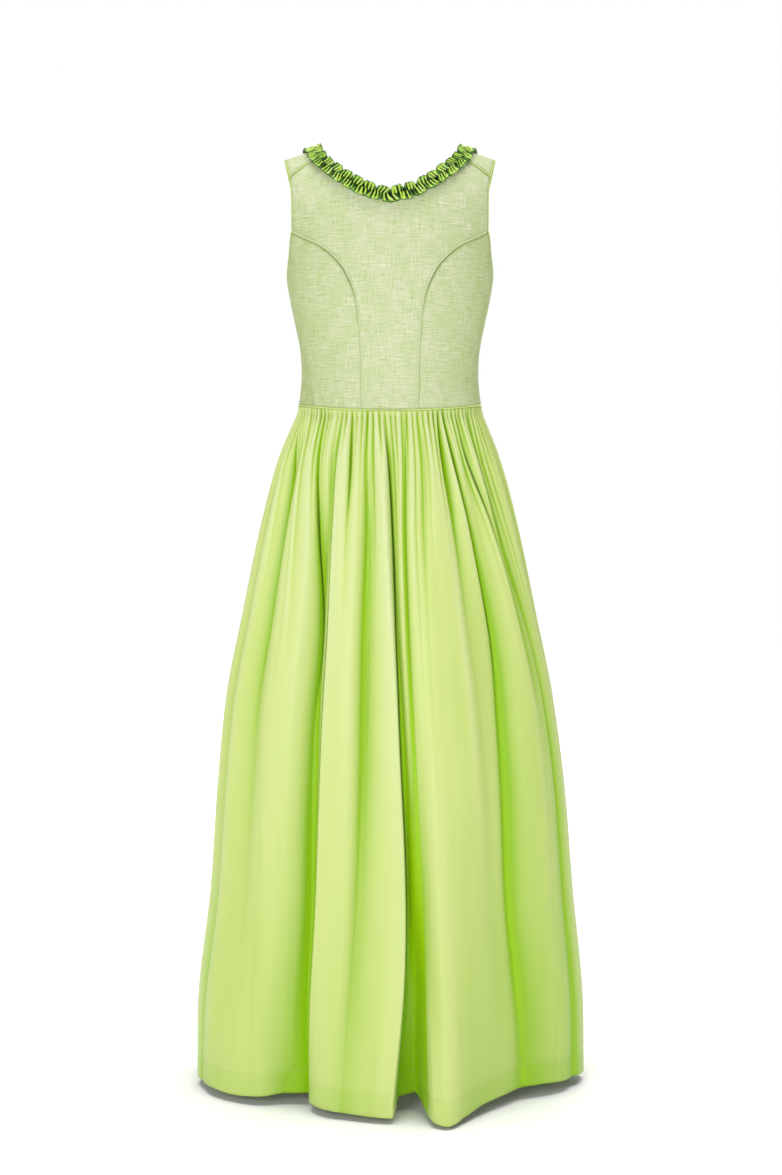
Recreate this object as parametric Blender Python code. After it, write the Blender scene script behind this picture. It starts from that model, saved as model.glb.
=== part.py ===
"""A sleeveless, floor-length dirndl, filled out as when worn, with its back towards -Y.

The bodice panels, the pipings, the neck ruche and the gathered skirt are thin closed cloth
walls. The origin lies between the shoulders, at the height where they hold the dress up.
All sizes are in metres.
"""

import math

import bmesh
import bpy
from mathutils import Vector

# ---------------------------------------------------------------- driving sizes
GAP = 0.0003  # free space between pieces that touch
BODICE_WALL = 0.0018  # linen with its backing
SKIRT_WALL = 0.0012  # satin
PIPING_RADIUS = 0.0011  # covered cord at armholes, shoulders and waist
PRINCESS_WIDTH = 0.0032  # raised self-fabric strip on the back seams
PRINCESS_HEIGHT = 0.0013
RUCHE_WIDTH = 0.0235  # gathered ribbon round the neck
RUCHE_UNIT = 0.0192  # length of one gathered unit
RUCHE_HEIGHT = 0.0056  # how far a puff stands off the cloth
RUCHE_OVERHANG = 0.0040  # how far the ribbon reaches past the neck edge
RUCHE_LIFT = 0.0008  # the ribbon's underside over the cloth
RUCHE_PROFILE = ((-1.0, 0.1), (-0.58, 1.0), (0.0, 0.42), (0.58, 1.0), (1.0, 0.1))
BACK_STATIONS = 26  # cross-sections of the ribbon on each side of the back
FRONT_STATIONS = 40  # and of the front

FLANK = -0.120  # height above which the cloth turns over the shoulders
OVER = 0.300  # path length counted for the way over a shoulder
NECK_RISE = 0.0415  # shoulder height over the neck centre, if it ran on
SHOULDER_SLOPE = 0.31  # drop of the shoulder per metre outwards
WAIST_BACK = -0.3735  # lower edge of the bodice at the centre back
WAIST_SIDE = -0.3665  # and at the sides
SECTION_POWER = 2.3  # 2 is an ellipse, more is squarer

SKIRT_TOP = -0.3695  # upper edge of the skirt at the sides, just under the waist cord
HEM = -1.376  # mean height of the hem
GATHERS = 104  # small gathers sewn into the waist
GATHER_STEP = 0.0040  # depth of a small gather just under the waist
SKIRT_COLUMNS = 2 * GATHERS

# Body of the bodice: height, half width, depth to the back, depth to the front
BODY = (
    (-0.376, 0.1375, 0.0880, 0.1030),
    (-0.352, 0.1335, 0.0875, 0.1030),
    (-0.325, 0.1315, 0.0885, 0.1060),
    (-0.290, 0.1332, 0.0925, 0.1150),
    (-0.255, 0.1396, 0.0980, 0.1240),
    (-0.220, 0.1471, 0.1025, 0.1260),
    (-0.180, 0.1534, 0.1060, 0.1190),
    (-0.145, 0.1545, 0.1075, 0.1080),
    (-0.120, 0.1580, 0.1070, 0.1010),
    (-0.080, 0.1630, 0.1060, 0.0930),
    (-0.030, 0.1670, 0.1050, 0.0860),
    (0.050, 0.1680, 0.1040, 0.0820),
)

# Back princess seam: height, distance from the centre
PRINCESS = (
    (-0.3730, 0.0410),
    (-0.3300, 0.0418),
    (-0.2740, 0.0434),
    (-0.2237, 0.0480),
    (-0.1950, 0.0552),
    (-0.1640, 0.0720),
    (-0.1380, 0.1005),
    (-0.1240, 0.1290),
    (-0.1150, 0.1435),
)

# Side seam: height, angle from the centre back on the left and on the right, in degrees
SIDE_SEAM = (
    (-0.372, 52.0, 94.0),
    (-0.335, 60.5, 94.0),
    (-0.294, 71.0, 94.0),
    (-0.240, 84.0, 93.0),
    (-0.186, 91.0, 92.0),
)

# Armhole of the back centre piece: height, distance from the centre
BACK_ARMHOLE = (
    (-0.1150, 0.1435),
    (-0.0850, 0.1435),
    (-0.0560, 0.1440),
    (-0.0350, 0.1465),
)

# Armhole of the front, from the seam behind the shoulder down to the underarm:
# height, distance from the centre; the first row lies on the back
FRONT_ARMHOLE = (
    (-0.0350, 0.1465),
    (-0.0067, 0.1555),
    (-0.0350, 0.1500),
    (-0.0750, 0.1395),
    (-0.1150, 0.1340),
    (-0.1450, 0.1370),
    (-0.1700, 0.1460),
)

# Neck edge from the centre back to the seam behind the shoulder: height, distance
NECK_BACK = (
    (-0.0600, 0.0000),
    (-0.0575, 0.0120),
    (-0.0500, 0.0360),
    (-0.0330, 0.0650),
    (-0.0150, 0.0885),
    (-0.0040, 0.0990),
)

# Neck edge from there over the shoulder to the centre front; the first row is on the back
NECK_FRONT = (
    (-0.0040, 0.0990),
    (0.0085, 0.1065),
    (-0.0040, 0.1095),
    (-0.0400, 0.1105),
    (-0.0800, 0.1080),
    (-0.1200, 0.1025),
    (-0.1500, 0.0910),
    (-0.1720, 0.0690),
    (-0.1800, 0.0400),
    (-0.1820, 0.0000),
)

# Skirt body: height, half width left, half width right, depth to the back, to the front
SKIRT_BODY = (
    (-0.3680, 0.1355, 0.1350, 0.0880, 0.1030),
    (-0.3760, 0.1370, 0.1365, 0.0895, 0.1045),
    (-0.3850, 0.1400, 0.1390, 0.0920, 0.1070),
    (-0.4100, 0.1510, 0.1490, 0.1010, 0.1170),
    (-0.4450, 0.1645, 0.1620, 0.1120, 0.1290),
    (-0.5000, 0.1798, 0.1780, 0.1250, 0.1420),
    (-0.5800, 0.1985, 0.1968, 0.1380, 0.1540),
    (-0.6800, 0.2190, 0.2170, 0.1520, 0.1670),
    (-0.8000, 0.2430, 0.2412, 0.1680, 0.1800),
    (-0.9400, 0.2570, 0.2600, 0.1830, 0.1930),
    (-1.1000, 0.2682, 0.2730, 0.1950, 0.2030),
    (-1.2500, 0.2865, 0.2880, 0.2030, 0.2110),
    (-1.3800, 0.2890, 0.2910, 0.2080, 0.2160),
)

# Large folds round the skirt, one row per ridge or recess. The angles are counted from the
# centre back, minus towards the left; the depths are where the cloth lies against the body
# of the skirt, plus outwards. Each is given at the four heights, the last one at the hem.
# The last column is how far the fold lifts the hem.
FOLD_HEIGHTS = (-0.470, -0.800, -1.140, -1.360)
FOLDS = (
    # angle_top, angle_mid, angle_low, angle_hem, depth_top, depth_mid, depth_low, depth_hem, lift
    (-85.0, -84.0, -84.0, -84.0, 0.001, 0.002, 0.003, 0.003, 0.000),
    (-77.0, -75.0, -74.5, -74.0, -0.003, -0.004, 0.001, 0.006, 0.000),
    (-68.0, -66.0, -65.0, -64.0, 0.003, 0.005, 0.007, 0.008, 0.000),
    (-58.0, -54.0, -53.5, -53.0, -0.008, -0.008, -0.002, 0.004, -0.002),
    (-48.0, -44.0, -43.0, -42.0, 0.004, 0.007, -0.000, -0.008, 0.000),
    (-38.0, -36.0, -35.5, -35.0, 0.002, 0.002, -0.010, -0.030, 0.004),
    (-31.0, -27.0, -27.0, -28.0, -0.008, -0.020, -0.026, -0.036, 0.004),
    (-25.0, -22.8, -23.4, -25.2, 0.003, 0.010, 0.008, -0.012, 0.000),
    (-16.0, -14.0, -14.5, -15.0, 0.003, 0.013, 0.014, 0.015, -0.003),
    (-9.0, -8.0, -9.0, -11.0, -0.004, -0.003, 0.004, 0.018, -0.004),
    (-3.0, 2.2, 4.2, 0.6, 0.003, 0.011, 0.018, 0.030, -0.005),
    (0.0, 3.8, 5.6, 2.8, -0.006, -0.003, -0.010, -0.026, 0.010),
    (3.5, 5.6, 7.0, 8.0, -0.001, 0.005, -0.005, -0.036, 0.013),
    (7.0, 9.0, 10.6, 10.8, 0.002, 0.009, 0.020, 0.050, -0.006),
    (15.0, 14.0, 14.0, 14.0, 0.003, 0.016, 0.040, 0.064, -0.009),
    (20.0, 19.5, 19.5, 19.5, 0.004, 0.014, 0.027, 0.040, -0.004),
    (26.0, 27.5, 27.0, 27.0, 0.003, 0.010, 0.009, 0.008, 0.002),
    (30.0, 33.5, 35.0, 36.0, -0.007, -0.006, -0.010, -0.014, 0.004),
    (37.0, 43.0, 42.6, 45.0, 0.002, -0.014, -0.018, -0.026, 0.006),
    (43.0, 51.0, 53.0, 55.0, -0.006, -0.002, -0.011, -0.020, 0.006),
    (51.0, 59.0, 62.0, 65.0, 0.003, 0.003, -0.004, -0.010, 0.004),
    (58.0, 67.0, 70.0, 73.0, -0.007, -0.003, -0.005, -0.006, 0.003),
    (73.0, 77.0, 79.0, 81.0, 0.001, 0.001, 0.001, 0.000, 0.001),
    (86.0, 88.0, 89.0, 90.0, 0.001, 0.002, 0.003, 0.003, 0.000),
    (99.0, 100.0, 100.5, 101.0, -0.004, -0.010, -0.016, -0.022, 0.000),
    (110.0, 111.0, 111.5, 112.0, 0.003, 0.010, 0.016, 0.022, 0.000),
    (122.0, 121.0, 121.5, 122.0, -0.004, -0.014, -0.024, -0.034, 0.000),
    (131.0, 133.0, 133.5, 134.0, 0.004, 0.013, 0.021, 0.030, 0.000),
    (143.0, 144.0, 145.5, 147.0, -0.006, -0.015, -0.028, -0.040, 0.000),
    (153.0, 156.0, 157.5, 159.0, 0.004, 0.014, 0.025, 0.036, 0.000),
    (165.0, 167.0, 168.5, 170.0, -0.004, -0.012, -0.021, -0.030, 0.000),
    (177.0, 179.0, 180.0, 181.0, 0.004, 0.014, 0.024, 0.034, 0.000),
    (190.0, 191.0, 192.0, 193.0, -0.006, -0.016, -0.029, -0.042, 0.000),
    (201.0, 204.0, 205.0, 206.0, 0.004, 0.012, 0.023, 0.034, 0.000),
    (214.0, 216.0, 216.5, 217.0, -0.004, -0.013, -0.024, -0.034, 0.000),
    (226.0, 228.0, 228.5, 229.0, 0.003, 0.012, 0.020, 0.028, 0.000),
    (239.0, 240.0, 240.5, 241.0, -0.005, -0.012, -0.021, -0.030, 0.000),
    (250.0, 252.0, 252.5, 253.0, 0.003, 0.009, 0.014, 0.020, 0.000),
    (262.0, 263.0, 263.5, 264.0, -0.003, -0.006, -0.010, -0.014, 0.000),
)

SKIRT_ROWS = (
    SKIRT_TOP,
    -0.3760,
    -0.3880,
    -0.4080,
    -0.4400,
    -0.4850,
    -0.5600,
    -0.6800,
    -0.8600,
    -1.1000,
    HEM,
)

# Colours: linear red, green and blue
LINEN = (0.60, 0.72, 0.40)
BRIGHT_SATIN = (0.42, 0.72, 0.08)
SKIRT_SATIN = (0.56, 0.80, 0.22)
RIBBON = (0.16, 0.42, 0.02)


# ---------------------------------------------------------------- small helpers
def ease(rows, at, column=1):
    """The value of a table's column at a key, on a smooth curve through the rows."""
    keys = [row[0] for row in rows]
    values = [row[column] for row in rows]
    if keys[0] > keys[-1]:
        keys.reverse()
        values.reverse()
    last = len(keys) - 1
    at = min(max(at, keys[0]), keys[last])
    index = 0
    while index < last - 1 and at > keys[index + 1]:
        index += 1
    slopes = []
    for place in (index, index + 1):
        low = max(place - 1, 0)
        high = min(place + 1, last)
        slopes.append((values[high] - values[low]) / (keys[high] - keys[low]))
    span = keys[index + 1] - keys[index]
    part = (at - keys[index]) / span
    square = part * part
    cube = square * part
    return (
        (2 * cube - 3 * square + 1) * values[index]
        + (cube - 2 * square + part) * span * slopes[0]
        + (3 * square - 2 * cube) * values[index + 1]
        + (cube - square) * span * slopes[1]
    )


def signed_power(value, power):
    return math.copysign(abs(value) ** power, value)


def make_object(name, verts, faces, color, roughness=0.75):
    """A named mesh object with its own material, its faces turned outwards."""
    mesh = bpy.data.meshes.new(name)
    mesh.from_pydata([tuple(vert) for vert in verts], [], faces)
    mesh.validate()
    shape = bmesh.new()
    shape.from_mesh(mesh)
    bmesh.ops.recalc_face_normals(shape, faces=shape.faces[:])
    shape.to_mesh(mesh)
    shape.free()
    obj = bpy.data.objects.new(name, mesh)
    dress.objects.link(obj)
    paint(obj, color, roughness)
    for face in mesh.polygons:
        face.use_smooth = True
    return obj


def paint(obj, color, roughness):
    material = bpy.data.materials.new(obj.name + "_cloth")
    material.use_nodes = True
    shader = material.node_tree.nodes["Principled BSDF"]
    shader.inputs["Base Color"].default_value = (*color, 1.0)
    shader.inputs["Roughness"].default_value = roughness
    shader.inputs["Metallic"].default_value = 0.0
    material.diffuse_color = (*color, 1.0)
    obj.data.materials.append(material)


def make_tube(name, points, radius, cyclic, color):
    """A round covered cord along a path, turned into a closed mesh."""
    curve = bpy.data.curves.new(name, "CURVE")
    curve.dimensions = "3D"
    curve.bevel_depth = radius
    curve.bevel_resolution = 1
    curve.use_fill_caps = True
    spline = curve.splines.new("POLY")
    spline.points.add(len(points) - 1)
    for knot, point in zip(spline.points, points):
        knot.co = (*point, 1.0)
    spline.use_cyclic_u = cyclic
    path = bpy.data.objects.new(name + "_path", curve)
    dress.objects.link(path)
    bpy.context.view_layer.update()
    graph = bpy.context.evaluated_depsgraph_get()
    mesh = bpy.data.meshes.new_from_object(path.evaluated_get(graph))
    bpy.data.objects.remove(path)
    shape = bmesh.new()
    shape.from_mesh(mesh)
    bmesh.ops.remove_doubles(shape, verts=shape.verts[:], dist=0.00002)
    verts = [vert.co.copy() for vert in shape.verts]
    shape.verts.index_update()
    faces = [[vert.index for vert in face.verts] for face in shape.faces]
    shape.free()
    return make_object(name, verts, faces, color, 0.5)


# ---------------------------------------------------------------- bodice form
def body_point(angle, path):
    """A point of the bodice's outer face.

    The angle is counted from the centre line of the side that the path lies on, in
    degrees, plus towards +X. The path is the height on the back up to FLANK, runs on over
    the shoulder for OVER, and then down the front.
    """
    on_front = path > FLANK + OVER / 2
    if path < FLANK:
        height, turn = path, 0.0
    elif path > FLANK + OVER:
        height, turn = 2 * FLANK + OVER - path, 0.0
    else:
        turn = math.pi * (path - FLANK) / OVER
        height = FLANK + 0.12 * math.sin(turn)
    half_width = ease(BODY, height, 1)
    power = 2 / SECTION_POWER
    across = math.radians(angle)
    x = half_width * signed_power(math.sin(across), power)
    toward = signed_power(math.cos(across), power)
    z = height
    if turn:
        ridge = NECK_RISE - SHOULDER_SLOPE * abs(x)
        z = FLANK + (ridge - FLANK) * math.sin(turn)
        toward *= abs(math.cos(turn))
    front_side = on_front == (toward > 0)
    depth = ease(BODY, height, 3 if front_side else 2)
    y = depth * abs(toward)
    return Vector((x, y if front_side else -y, z))


def body_normal(angle, path):
    """The outward direction of the bodice's face."""
    step = 0.4
    rise = 0.0008
    across = body_point(angle + step, path) - body_point(angle - step, path)
    along = body_point(angle, path + rise) - body_point(angle, path - rise)
    return across.cross(along).normalized()


def angle_at(path, across):
    """The angle at which the bodice's face is this far from the centre line."""
    if path < FLANK:
        height = path
    elif path > FLANK + OVER:
        height = front_path(path)
    else:
        height = FLANK + 0.12 * math.sin(math.pi * (path - FLANK) / OVER)
    share = min(abs(across) / ease(BODY, height, 1), 0.999)
    return math.copysign(math.degrees(math.asin(share ** (SECTION_POWER / 2))), across)


def cell_at(height, across, on_front=False):
    """The (angle, path) of the face at a height and a distance from the centre line."""
    path = height
    if height > FLANK:
        ridge = NECK_RISE - SHOULDER_SLOPE * abs(across)
        share = min((height - FLANK) / (ridge - FLANK), 1.0)
        path = FLANK + OVER / math.pi * math.asin(share)
    if on_front:
        path = front_path(path)
    return angle_at(path, across), path


def table_cells(rows, back_rows):
    """Cells of a seam table whose first rows lie on the back and the others on the front."""
    return [cell_at(row[0], row[1], index >= back_rows) for index, row in enumerate(rows)]


def waist_height(angle_from_back):
    """The bodice's lower edge dips a little at the centre back."""
    dip = max(math.cos(math.radians(angle_from_back)), 0.0) ** 2
    return WAIST_SIDE + (WAIST_BACK - WAIST_SIDE) * dip


def front_path(height):
    """The path on the front at a height, and back again."""
    return 2 * FLANK + OVER - height


# ---------------------------------------------------------------- panels
def spaced(cells, count, side=1):
    """Evenly spaced (angle, path) points on a smooth line through some cells."""
    fine = []
    steps = 16
    last = len(cells) - 1
    for index in range(last):
        low, high = cells[index], cells[index + 1]
        before, after = cells[max(index - 1, 0)], cells[min(index + 2, last)]
        for step in range(steps):
            part = step / steps
            square, cube = part * part, part * part * part
            fine.append(
                tuple(
                    (2 * cube - 3 * square + 1) * low[axis]
                    + (cube - 2 * square + part) * (high[axis] - before[axis]) / 2
                    + (3 * square - 2 * cube) * high[axis]
                    + (cube - square) * (after[axis] - low[axis]) / 2
                    for axis in (0, 1)
                )
            )
    fine.append(cells[-1])
    places = [body_point(*point) for point in fine]
    lengths = [0.0]
    for low, high in zip(places, places[1:]):
        lengths.append(lengths[-1] + (high - low).length)
    result = []
    at = 0
    for index in range(count + 1):
        target = lengths[-1] * index / count
        while at < len(lengths) - 2 and lengths[at + 1] < target:
            at += 1
        part = (target - lengths[at]) / (lengths[at + 1] - lengths[at])
        low, high = fine[at], fine[at + 1]
        angle = low[0] + (high[0] - low[0]) * part
        path = low[1] + (high[1] - low[1]) * part
        result.append((side * angle, path))
    return result


def straight(start, end, count):
    return [
        (
            start[0] + (end[0] - start[0]) * index / count,
            start[1] + (end[1] - start[1]) * index / count,
        )
        for index in range(count + 1)
    ]


def filled(bottom, top, left, right, hold=1.0):
    """A grid of (angle, path) between four edges that share their corners.

    With a larger hold, the rows keep the shape of the bottom edge further up.
    """
    columns = len(bottom) - 1
    rows = len(left) - 1
    grid = []
    for row in range(rows + 1):
        v = (row / rows) ** hold
        line = []
        for column in range(columns + 1):
            u = column / columns
            cell = []
            for axis in (0, 1):
                edges = (
                    (1 - v) * bottom[column][axis]
                    + v * top[column][axis]
                    + (1 - u) * left[row][axis]
                    + u * right[row][axis]
                )
                corners = (
                    (1 - u) * (1 - v) * bottom[0][axis]
                    + u * (1 - v) * bottom[-1][axis]
                    + (1 - u) * v * top[0][axis]
                    + u * v * top[-1][axis]
                )
                cell.append(edges - corners)
            line.append(tuple(cell))
        grid.append(line)
    return grid


def closed_sheet(outer, inner):
    """Vertices and faces of a closed wall between two grids of the same size."""
    rows, columns = len(outer), len(outer[0])
    verts = [point for line in outer for point in line]
    verts += [point for line in inner for point in line]
    back = rows * columns
    faces = []
    for row in range(rows - 1):
        for column in range(columns - 1):
            low = row * columns + column
            high = low + columns
            faces.append((low, low + 1, high + 1, high))
            faces.append((back + low, back + high, back + high + 1, back + low + 1))
    rim = [(0, column) for column in range(columns)]
    rim += [(row, columns - 1) for row in range(1, rows)]
    rim += [(rows - 1, column) for column in range(columns - 2, -1, -1)]
    rim += [(row, 0) for row in range(rows - 2, 0, -1)]
    for index, (row, column) in enumerate(rim):
        next_row, next_column = rim[(index + 1) % len(rim)]
        low = row * columns + column
        high = next_row * columns + next_column
        faces.append((low, back + low, back + high, high))
    return verts, faces


def pull_in(points, distance, sides=True):
    """Moves the edge of a grid of points inwards, so that neighbours stay apart."""
    moved = [list(line) for line in points]
    rows, columns = len(points), len(points[0])
    for column in range(columns):
        for row, inner in ((0, 1), (rows - 1, rows - 2)):
            way = points[inner][column] - points[row][column]
            moved[row][column] = moved[row][column] + way.normalized() * distance
    if not sides:
        return moved
    for row in range(rows):
        for column, inner in ((0, 1), (columns - 1, columns - 2)):
            way = points[row][inner] - points[row][column]
            moved[row][column] = moved[row][column] + way.normalized() * distance
    return moved


def panel(name, grid):
    """One cut piece of the bodice from its grid of (angle, path)."""
    outer = [[body_point(*cell) for cell in line] for line in grid]
    inner = [
        [body_point(*cell) - body_normal(*cell) * BODICE_WALL for cell in line]
        for line in grid
    ]
    verts, faces = closed_sheet(pull_in(outer, GAP / 1.6), pull_in(inner, GAP / 1.6))
    return make_object(name, verts, faces, LINEN, 0.85)


def seam_angle(height, side):
    return ease(SIDE_SEAM, height, 1 if side < 0 else 2)


def princess_line(count, side=1):
    return spaced([cell_at(*row) for row in PRINCESS], count, side)


def back_armhole_line(count, side=1):
    return spaced([cell_at(*row) for row in BACK_ARMHOLE], count, side)


def underarm_line(side, count):
    """The armhole edge of the side back, from the princess seam to the side seam."""
    start = princess_line(13, side)[-1]
    end = (side * seam_angle(SIDE_SEAM[-1][0], side), SIDE_SEAM[-1][0])
    cells = []
    for index in range(count + 1):
        part = index / count
        sink = math.sin(part * math.pi / 2) ** 1.3
        cells.append((start[0] + (end[0] - start[0]) * part, start[1] + (end[1] - start[1]) * sink))
    return cells


def front_armhole_line(side, count):
    """The armhole edge of the front, from the underarm to the seam behind the shoulder."""
    height = SIDE_SEAM[-1][0]
    first = (180 - seam_angle(height, side), front_path(height))
    cells = table_cells(FRONT_ARMHOLE, 1)
    return spaced([first] + cells[::-1], count, side)


def back_centre():
    """The back, with the yoke up to the shoulder seams and the neck edge."""
    right = princess_line(13)[:-1] + back_armhole_line(4)
    left = [(-angle, path) for angle, path in right]
    neck = spaced([cell_at(*row) for row in NECK_BACK], 4)
    shoulder = straight(neck[-1], right[-1], 8)
    half_top = neck + shoulder[1:]
    top = [(-angle, path) for angle, path in half_top[:0:-1]] + half_top
    bottom = straight(left[0], right[0], len(top) - 1)
    bottom = [(angle, waist_height(angle)) for angle, path in bottom]
    left[0], right[0] = bottom[0], bottom[-1]
    return panel("back_centre", filled(bottom, top, left, right, 3.0))


def back_side(name, side):
    """The side back, from the princess seam to the side seam and up to the armhole."""
    inner = princess_line(13, side)
    inner[0] = (inner[0][0], waist_height(inner[0][0]))
    outer = []
    start, end = waist_height(90), SIDE_SEAM[-1][0]
    for index in range(14):
        path = start + (end - start) * index / 13
        outer.append((side * seam_angle(path, side), path))
    bottom = straight(inner[0], outer[0], 6)
    bottom = [(angle, waist_height(angle)) for angle, path in bottom]
    outer[0] = bottom[-1]
    return panel(name, filled(bottom, underarm_line(side, 6), inner, outer))


def front_half(name, side):
    """A front with its strap, from the centre front to the side seam and over the shoulder."""
    lower, upper = 13, 12
    start, end = waist_height(90), SIDE_SEAM[-1][0]
    seam = []
    for index in range(lower + 1):
        height = start + (end - start) * index / lower
        seam.append((side * (180 - seam_angle(height, side)), front_path(height)))
    outer = seam[:-1] + front_armhole_line(side, upper)
    neck = spaced(table_cells(NECK_FRONT, 2)[::-1], upper, side)
    inner = straight((0.0, front_path(WAIST_SIDE)), neck[0], lower)[:-1] + neck
    bottom = []
    for index in range(9):
        angle = outer[0][0] * index / 8
        bottom.append((angle, front_path(waist_height(180 - abs(angle)))))
    outer[0] = bottom[-1]
    return panel(name, filled(bottom, straight(inner[-1], outer[-1], 8), inner, outer))


# ---------------------------------------------------------------- pipings
def lifted(cell, height):
    return body_point(*cell) + body_normal(*cell) * height


def princess_piping(name, side):
    """The raised strip that covers the back princess seam."""
    cells = princess_line(13, side)[:-1]
    cells[0] = (cells[0][0], waist_height(cells[0][0]) + 0.0008)
    cells.append(princess_line(130, side)[-3])
    outer, inner = [], []
    for index, cell in enumerate(cells):
        before = body_point(*cells[max(index - 1, 0)])
        after = body_point(*cells[min(index + 1, len(cells) - 1)])
        normal = body_normal(*cell)
        across = (after - before).normalized().cross(normal)
        middle = body_point(*cell) + normal * (GAP * 1.6)
        half = across * (PRINCESS_WIDTH / 2)
        rise = normal * PRINCESS_HEIGHT
        outer.append([middle - half + rise * 0.35, middle - half * 0.45 + rise,
                      middle + half * 0.45 + rise, middle + half + rise * 0.35])
        inner.append([middle - half, middle - half * 0.45, middle + half * 0.45, middle + half])
    verts, faces = closed_sheet(outer, inner)
    return make_object(name, verts, faces, LINEN, 0.85)


def shoulder_piping(name, side):
    """The bright cord in the slanted seam behind the shoulder."""
    start = cell_at(*NECK_BACK[-1])
    end = cell_at(*BACK_ARMHOLE[-1])
    cells = straight(start, end, 8)[3:]
    points = [lifted((side * angle, path), PIPING_RADIUS + GAP * 1.6) for angle, path in cells]
    last = points[-1]
    points[-1] = last + (points[-2] - last).normalized() * 0.0016
    return make_tube(name, points, PIPING_RADIUS, False, BRIGHT_SATIN)


def armhole_piping(name, edge):
    """The bright cord round an armhole, just outside the edges of the panels."""
    points = []
    count = len(edge)
    for index, (point, normal, inside) in enumerate(edge):
        before = edge[index - 1][0]
        after = edge[(index + 1) % count][0]
        along = (after - before).normalized()
        out = along.cross(normal).normalized()
        if out.dot(point - inside) < 0:
            out = -out
        points.append(point - normal * (BODICE_WALL / 2) + out * (PIPING_RADIUS + GAP))
    return make_tube(name, points, PIPING_RADIUS, True, BRIGHT_SATIN)


def edge_run(cells, toward):
    """Points of a run of edge cells with their normals and a point inside the panel."""
    run = []
    for cell in cells:
        inside = (cell[0] + toward[0], cell[1] + toward[1])
        run.append((body_point(*cell), body_normal(*cell), body_point(*inside)))
    return run


def armhole_edge(side):
    """The armhole edge in one round: down the yoke, under the arm and up the front."""
    yoke = back_armhole_line(4, side)[::-1]
    side_back = underarm_line(side, 6)[1:]
    front = front_armhole_line(side, 12)[1:-1]
    return (
        edge_run(yoke, (-side * 3, 0))
        + edge_run(side_back, (0, -0.004))
        + edge_run(front, (-side * 3, 0.004))
    )


def waist_piping():
    points = []
    count = 36
    for index in range(count):
        angle = -180 + 360 * index / count
        height = waist_height(angle) - GAP * 1.5 - PIPING_RADIUS
        if abs(angle) <= 90:
            base = body_point(angle, height)
        else:
            front = math.copysign(180 - abs(angle), angle)
            base = body_point(front, front_path(height))
        out = Vector((base.x, base.y, 0)).normalized()
        points.append(base - out * (BODICE_WALL * 0.3))
    return make_tube("waist_piping", points, PIPING_RADIUS, True, BRIGHT_SATIN)


# ---------------------------------------------------------------- neck ruche
def neck_ring():
    """Cells round the neck edge: over the back from left to right, then over the front."""
    back = [cell_at(*row) for row in NECK_BACK]
    front = table_cells(NECK_FRONT, 2)
    ring = spaced(back, BACK_STATIONS, -1)[:0:-1] + spaced(back, BACK_STATIONS)
    ring += spaced(front, FRONT_STATIONS)[1:]
    return ring + spaced(front, FRONT_STATIONS, -1)[-2:0:-1]


def ruche_sections():
    """The cross-sections of the gathered ribbon, (outer points, inner points) at each cell."""
    ring = neck_ring()
    places = [body_point(*cell) for cell in ring]
    count = len(ring)
    steps = [(places[(index + 1) % count] - places[index]).length for index in range(count)]
    unit = sum(steps) / round(sum(steps) / RUCHE_UNIT)
    half = RUCHE_WIDTH / 2
    length = -sum(steps[:BACK_STATIONS])
    sections = []
    for index, cell in enumerate(ring):
        normal = body_normal(*cell)
        along = (places[(index + 1) % count] - places[index - 1]).normalized()
        down = along.cross(normal).normalized()
        wave = 0.5 + 0.5 * math.cos(2 * math.pi * length / unit)
        middle = places[index] + down * (half - RUCHE_OVERHANG) + normal * RUCHE_LIFT
        top_line, low_line = [], []
        for place, height in RUCHE_PROFILE:
            spread = half if place < 0 else half * (0.88 + 0.12 * wave)
            edge = middle + down * (place * spread)
            low_line.append(edge)
            rise = 0.0012 + height * RUCHE_HEIGHT * (0.62 + 0.38 * wave)
            top_line.append(edge + normal * rise)
        sections.append((top_line, low_line))
        length += steps[index]
    return sections


def ruche(name, sections):
    outer = pull_in([top for top, low in sections], GAP, False)
    inner = pull_in([low for top, low in sections], GAP, False)
    verts, faces = closed_sheet(outer, inner)
    return make_object(name, verts, faces, RIBBON, 0.4)


# ---------------------------------------------------------------- skirt
def fold_depth(angle, height):
    """How far the large folds carry the cloth outwards and lift it at this angle and height."""
    knots = []
    low_part = min(max((-0.8 - height) / 0.56, 0.0), 1.0)
    for row in FOLDS:
        places = tuple(zip(FOLD_HEIGHTS, row[:4]))
        depths = ((-0.385, 0.0),) + tuple(zip(FOLD_HEIGHTS, row[4:8]))
        knots.append((ease(places, height), ease(depths, height), row[8] * low_part ** 2))
    first, last = knots[0], knots[-1]
    knots.insert(0, (last[0] - 360, *last[1:]))
    knots.append((first[0] + 360, *first[1:]))
    while angle < knots[0][0]:
        angle += 360
    while angle > knots[-1][0]:
        angle -= 360
    for low, high in zip(knots, knots[1:]):
        if angle <= high[0]:
            break
    part = (angle - low[0]) / (high[0] - low[0])
    blend = 0.5 - 0.5 * math.cos(math.pi * part)
    return low[1] + (high[1] - low[1]) * blend, low[2] + (high[2] - low[2]) * blend


def gather_depth(column, height):
    """The small gathers: strongest just under the waist, gone by the hips."""
    fade_in = min(max((SKIRT_TOP - height) / 0.010, 0.0), 1.0)
    fade_out = math.exp(-((-0.385 - height) / 0.110) ** 2) if height < -0.385 else 1.0
    uneven = 1.0 + 0.35 * math.sin(column * 1.7) * math.sin(column * 0.31 + 1.0)
    depth = (0.35 + 0.65 * fade_in) * fade_out * uneven * GATHER_STEP / 2
    return depth if column % 2 else -depth


def skirt_radii(angle, height):
    """Half width and depth of the skirt body at this angle."""
    across = ease(SKIRT_BODY, height, 1 if math.sin(math.radians(angle)) < 0 else 2)
    depth = ease(SKIRT_BODY, height, 3 if math.cos(math.radians(angle)) > 0 else 4)
    return across, depth


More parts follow.
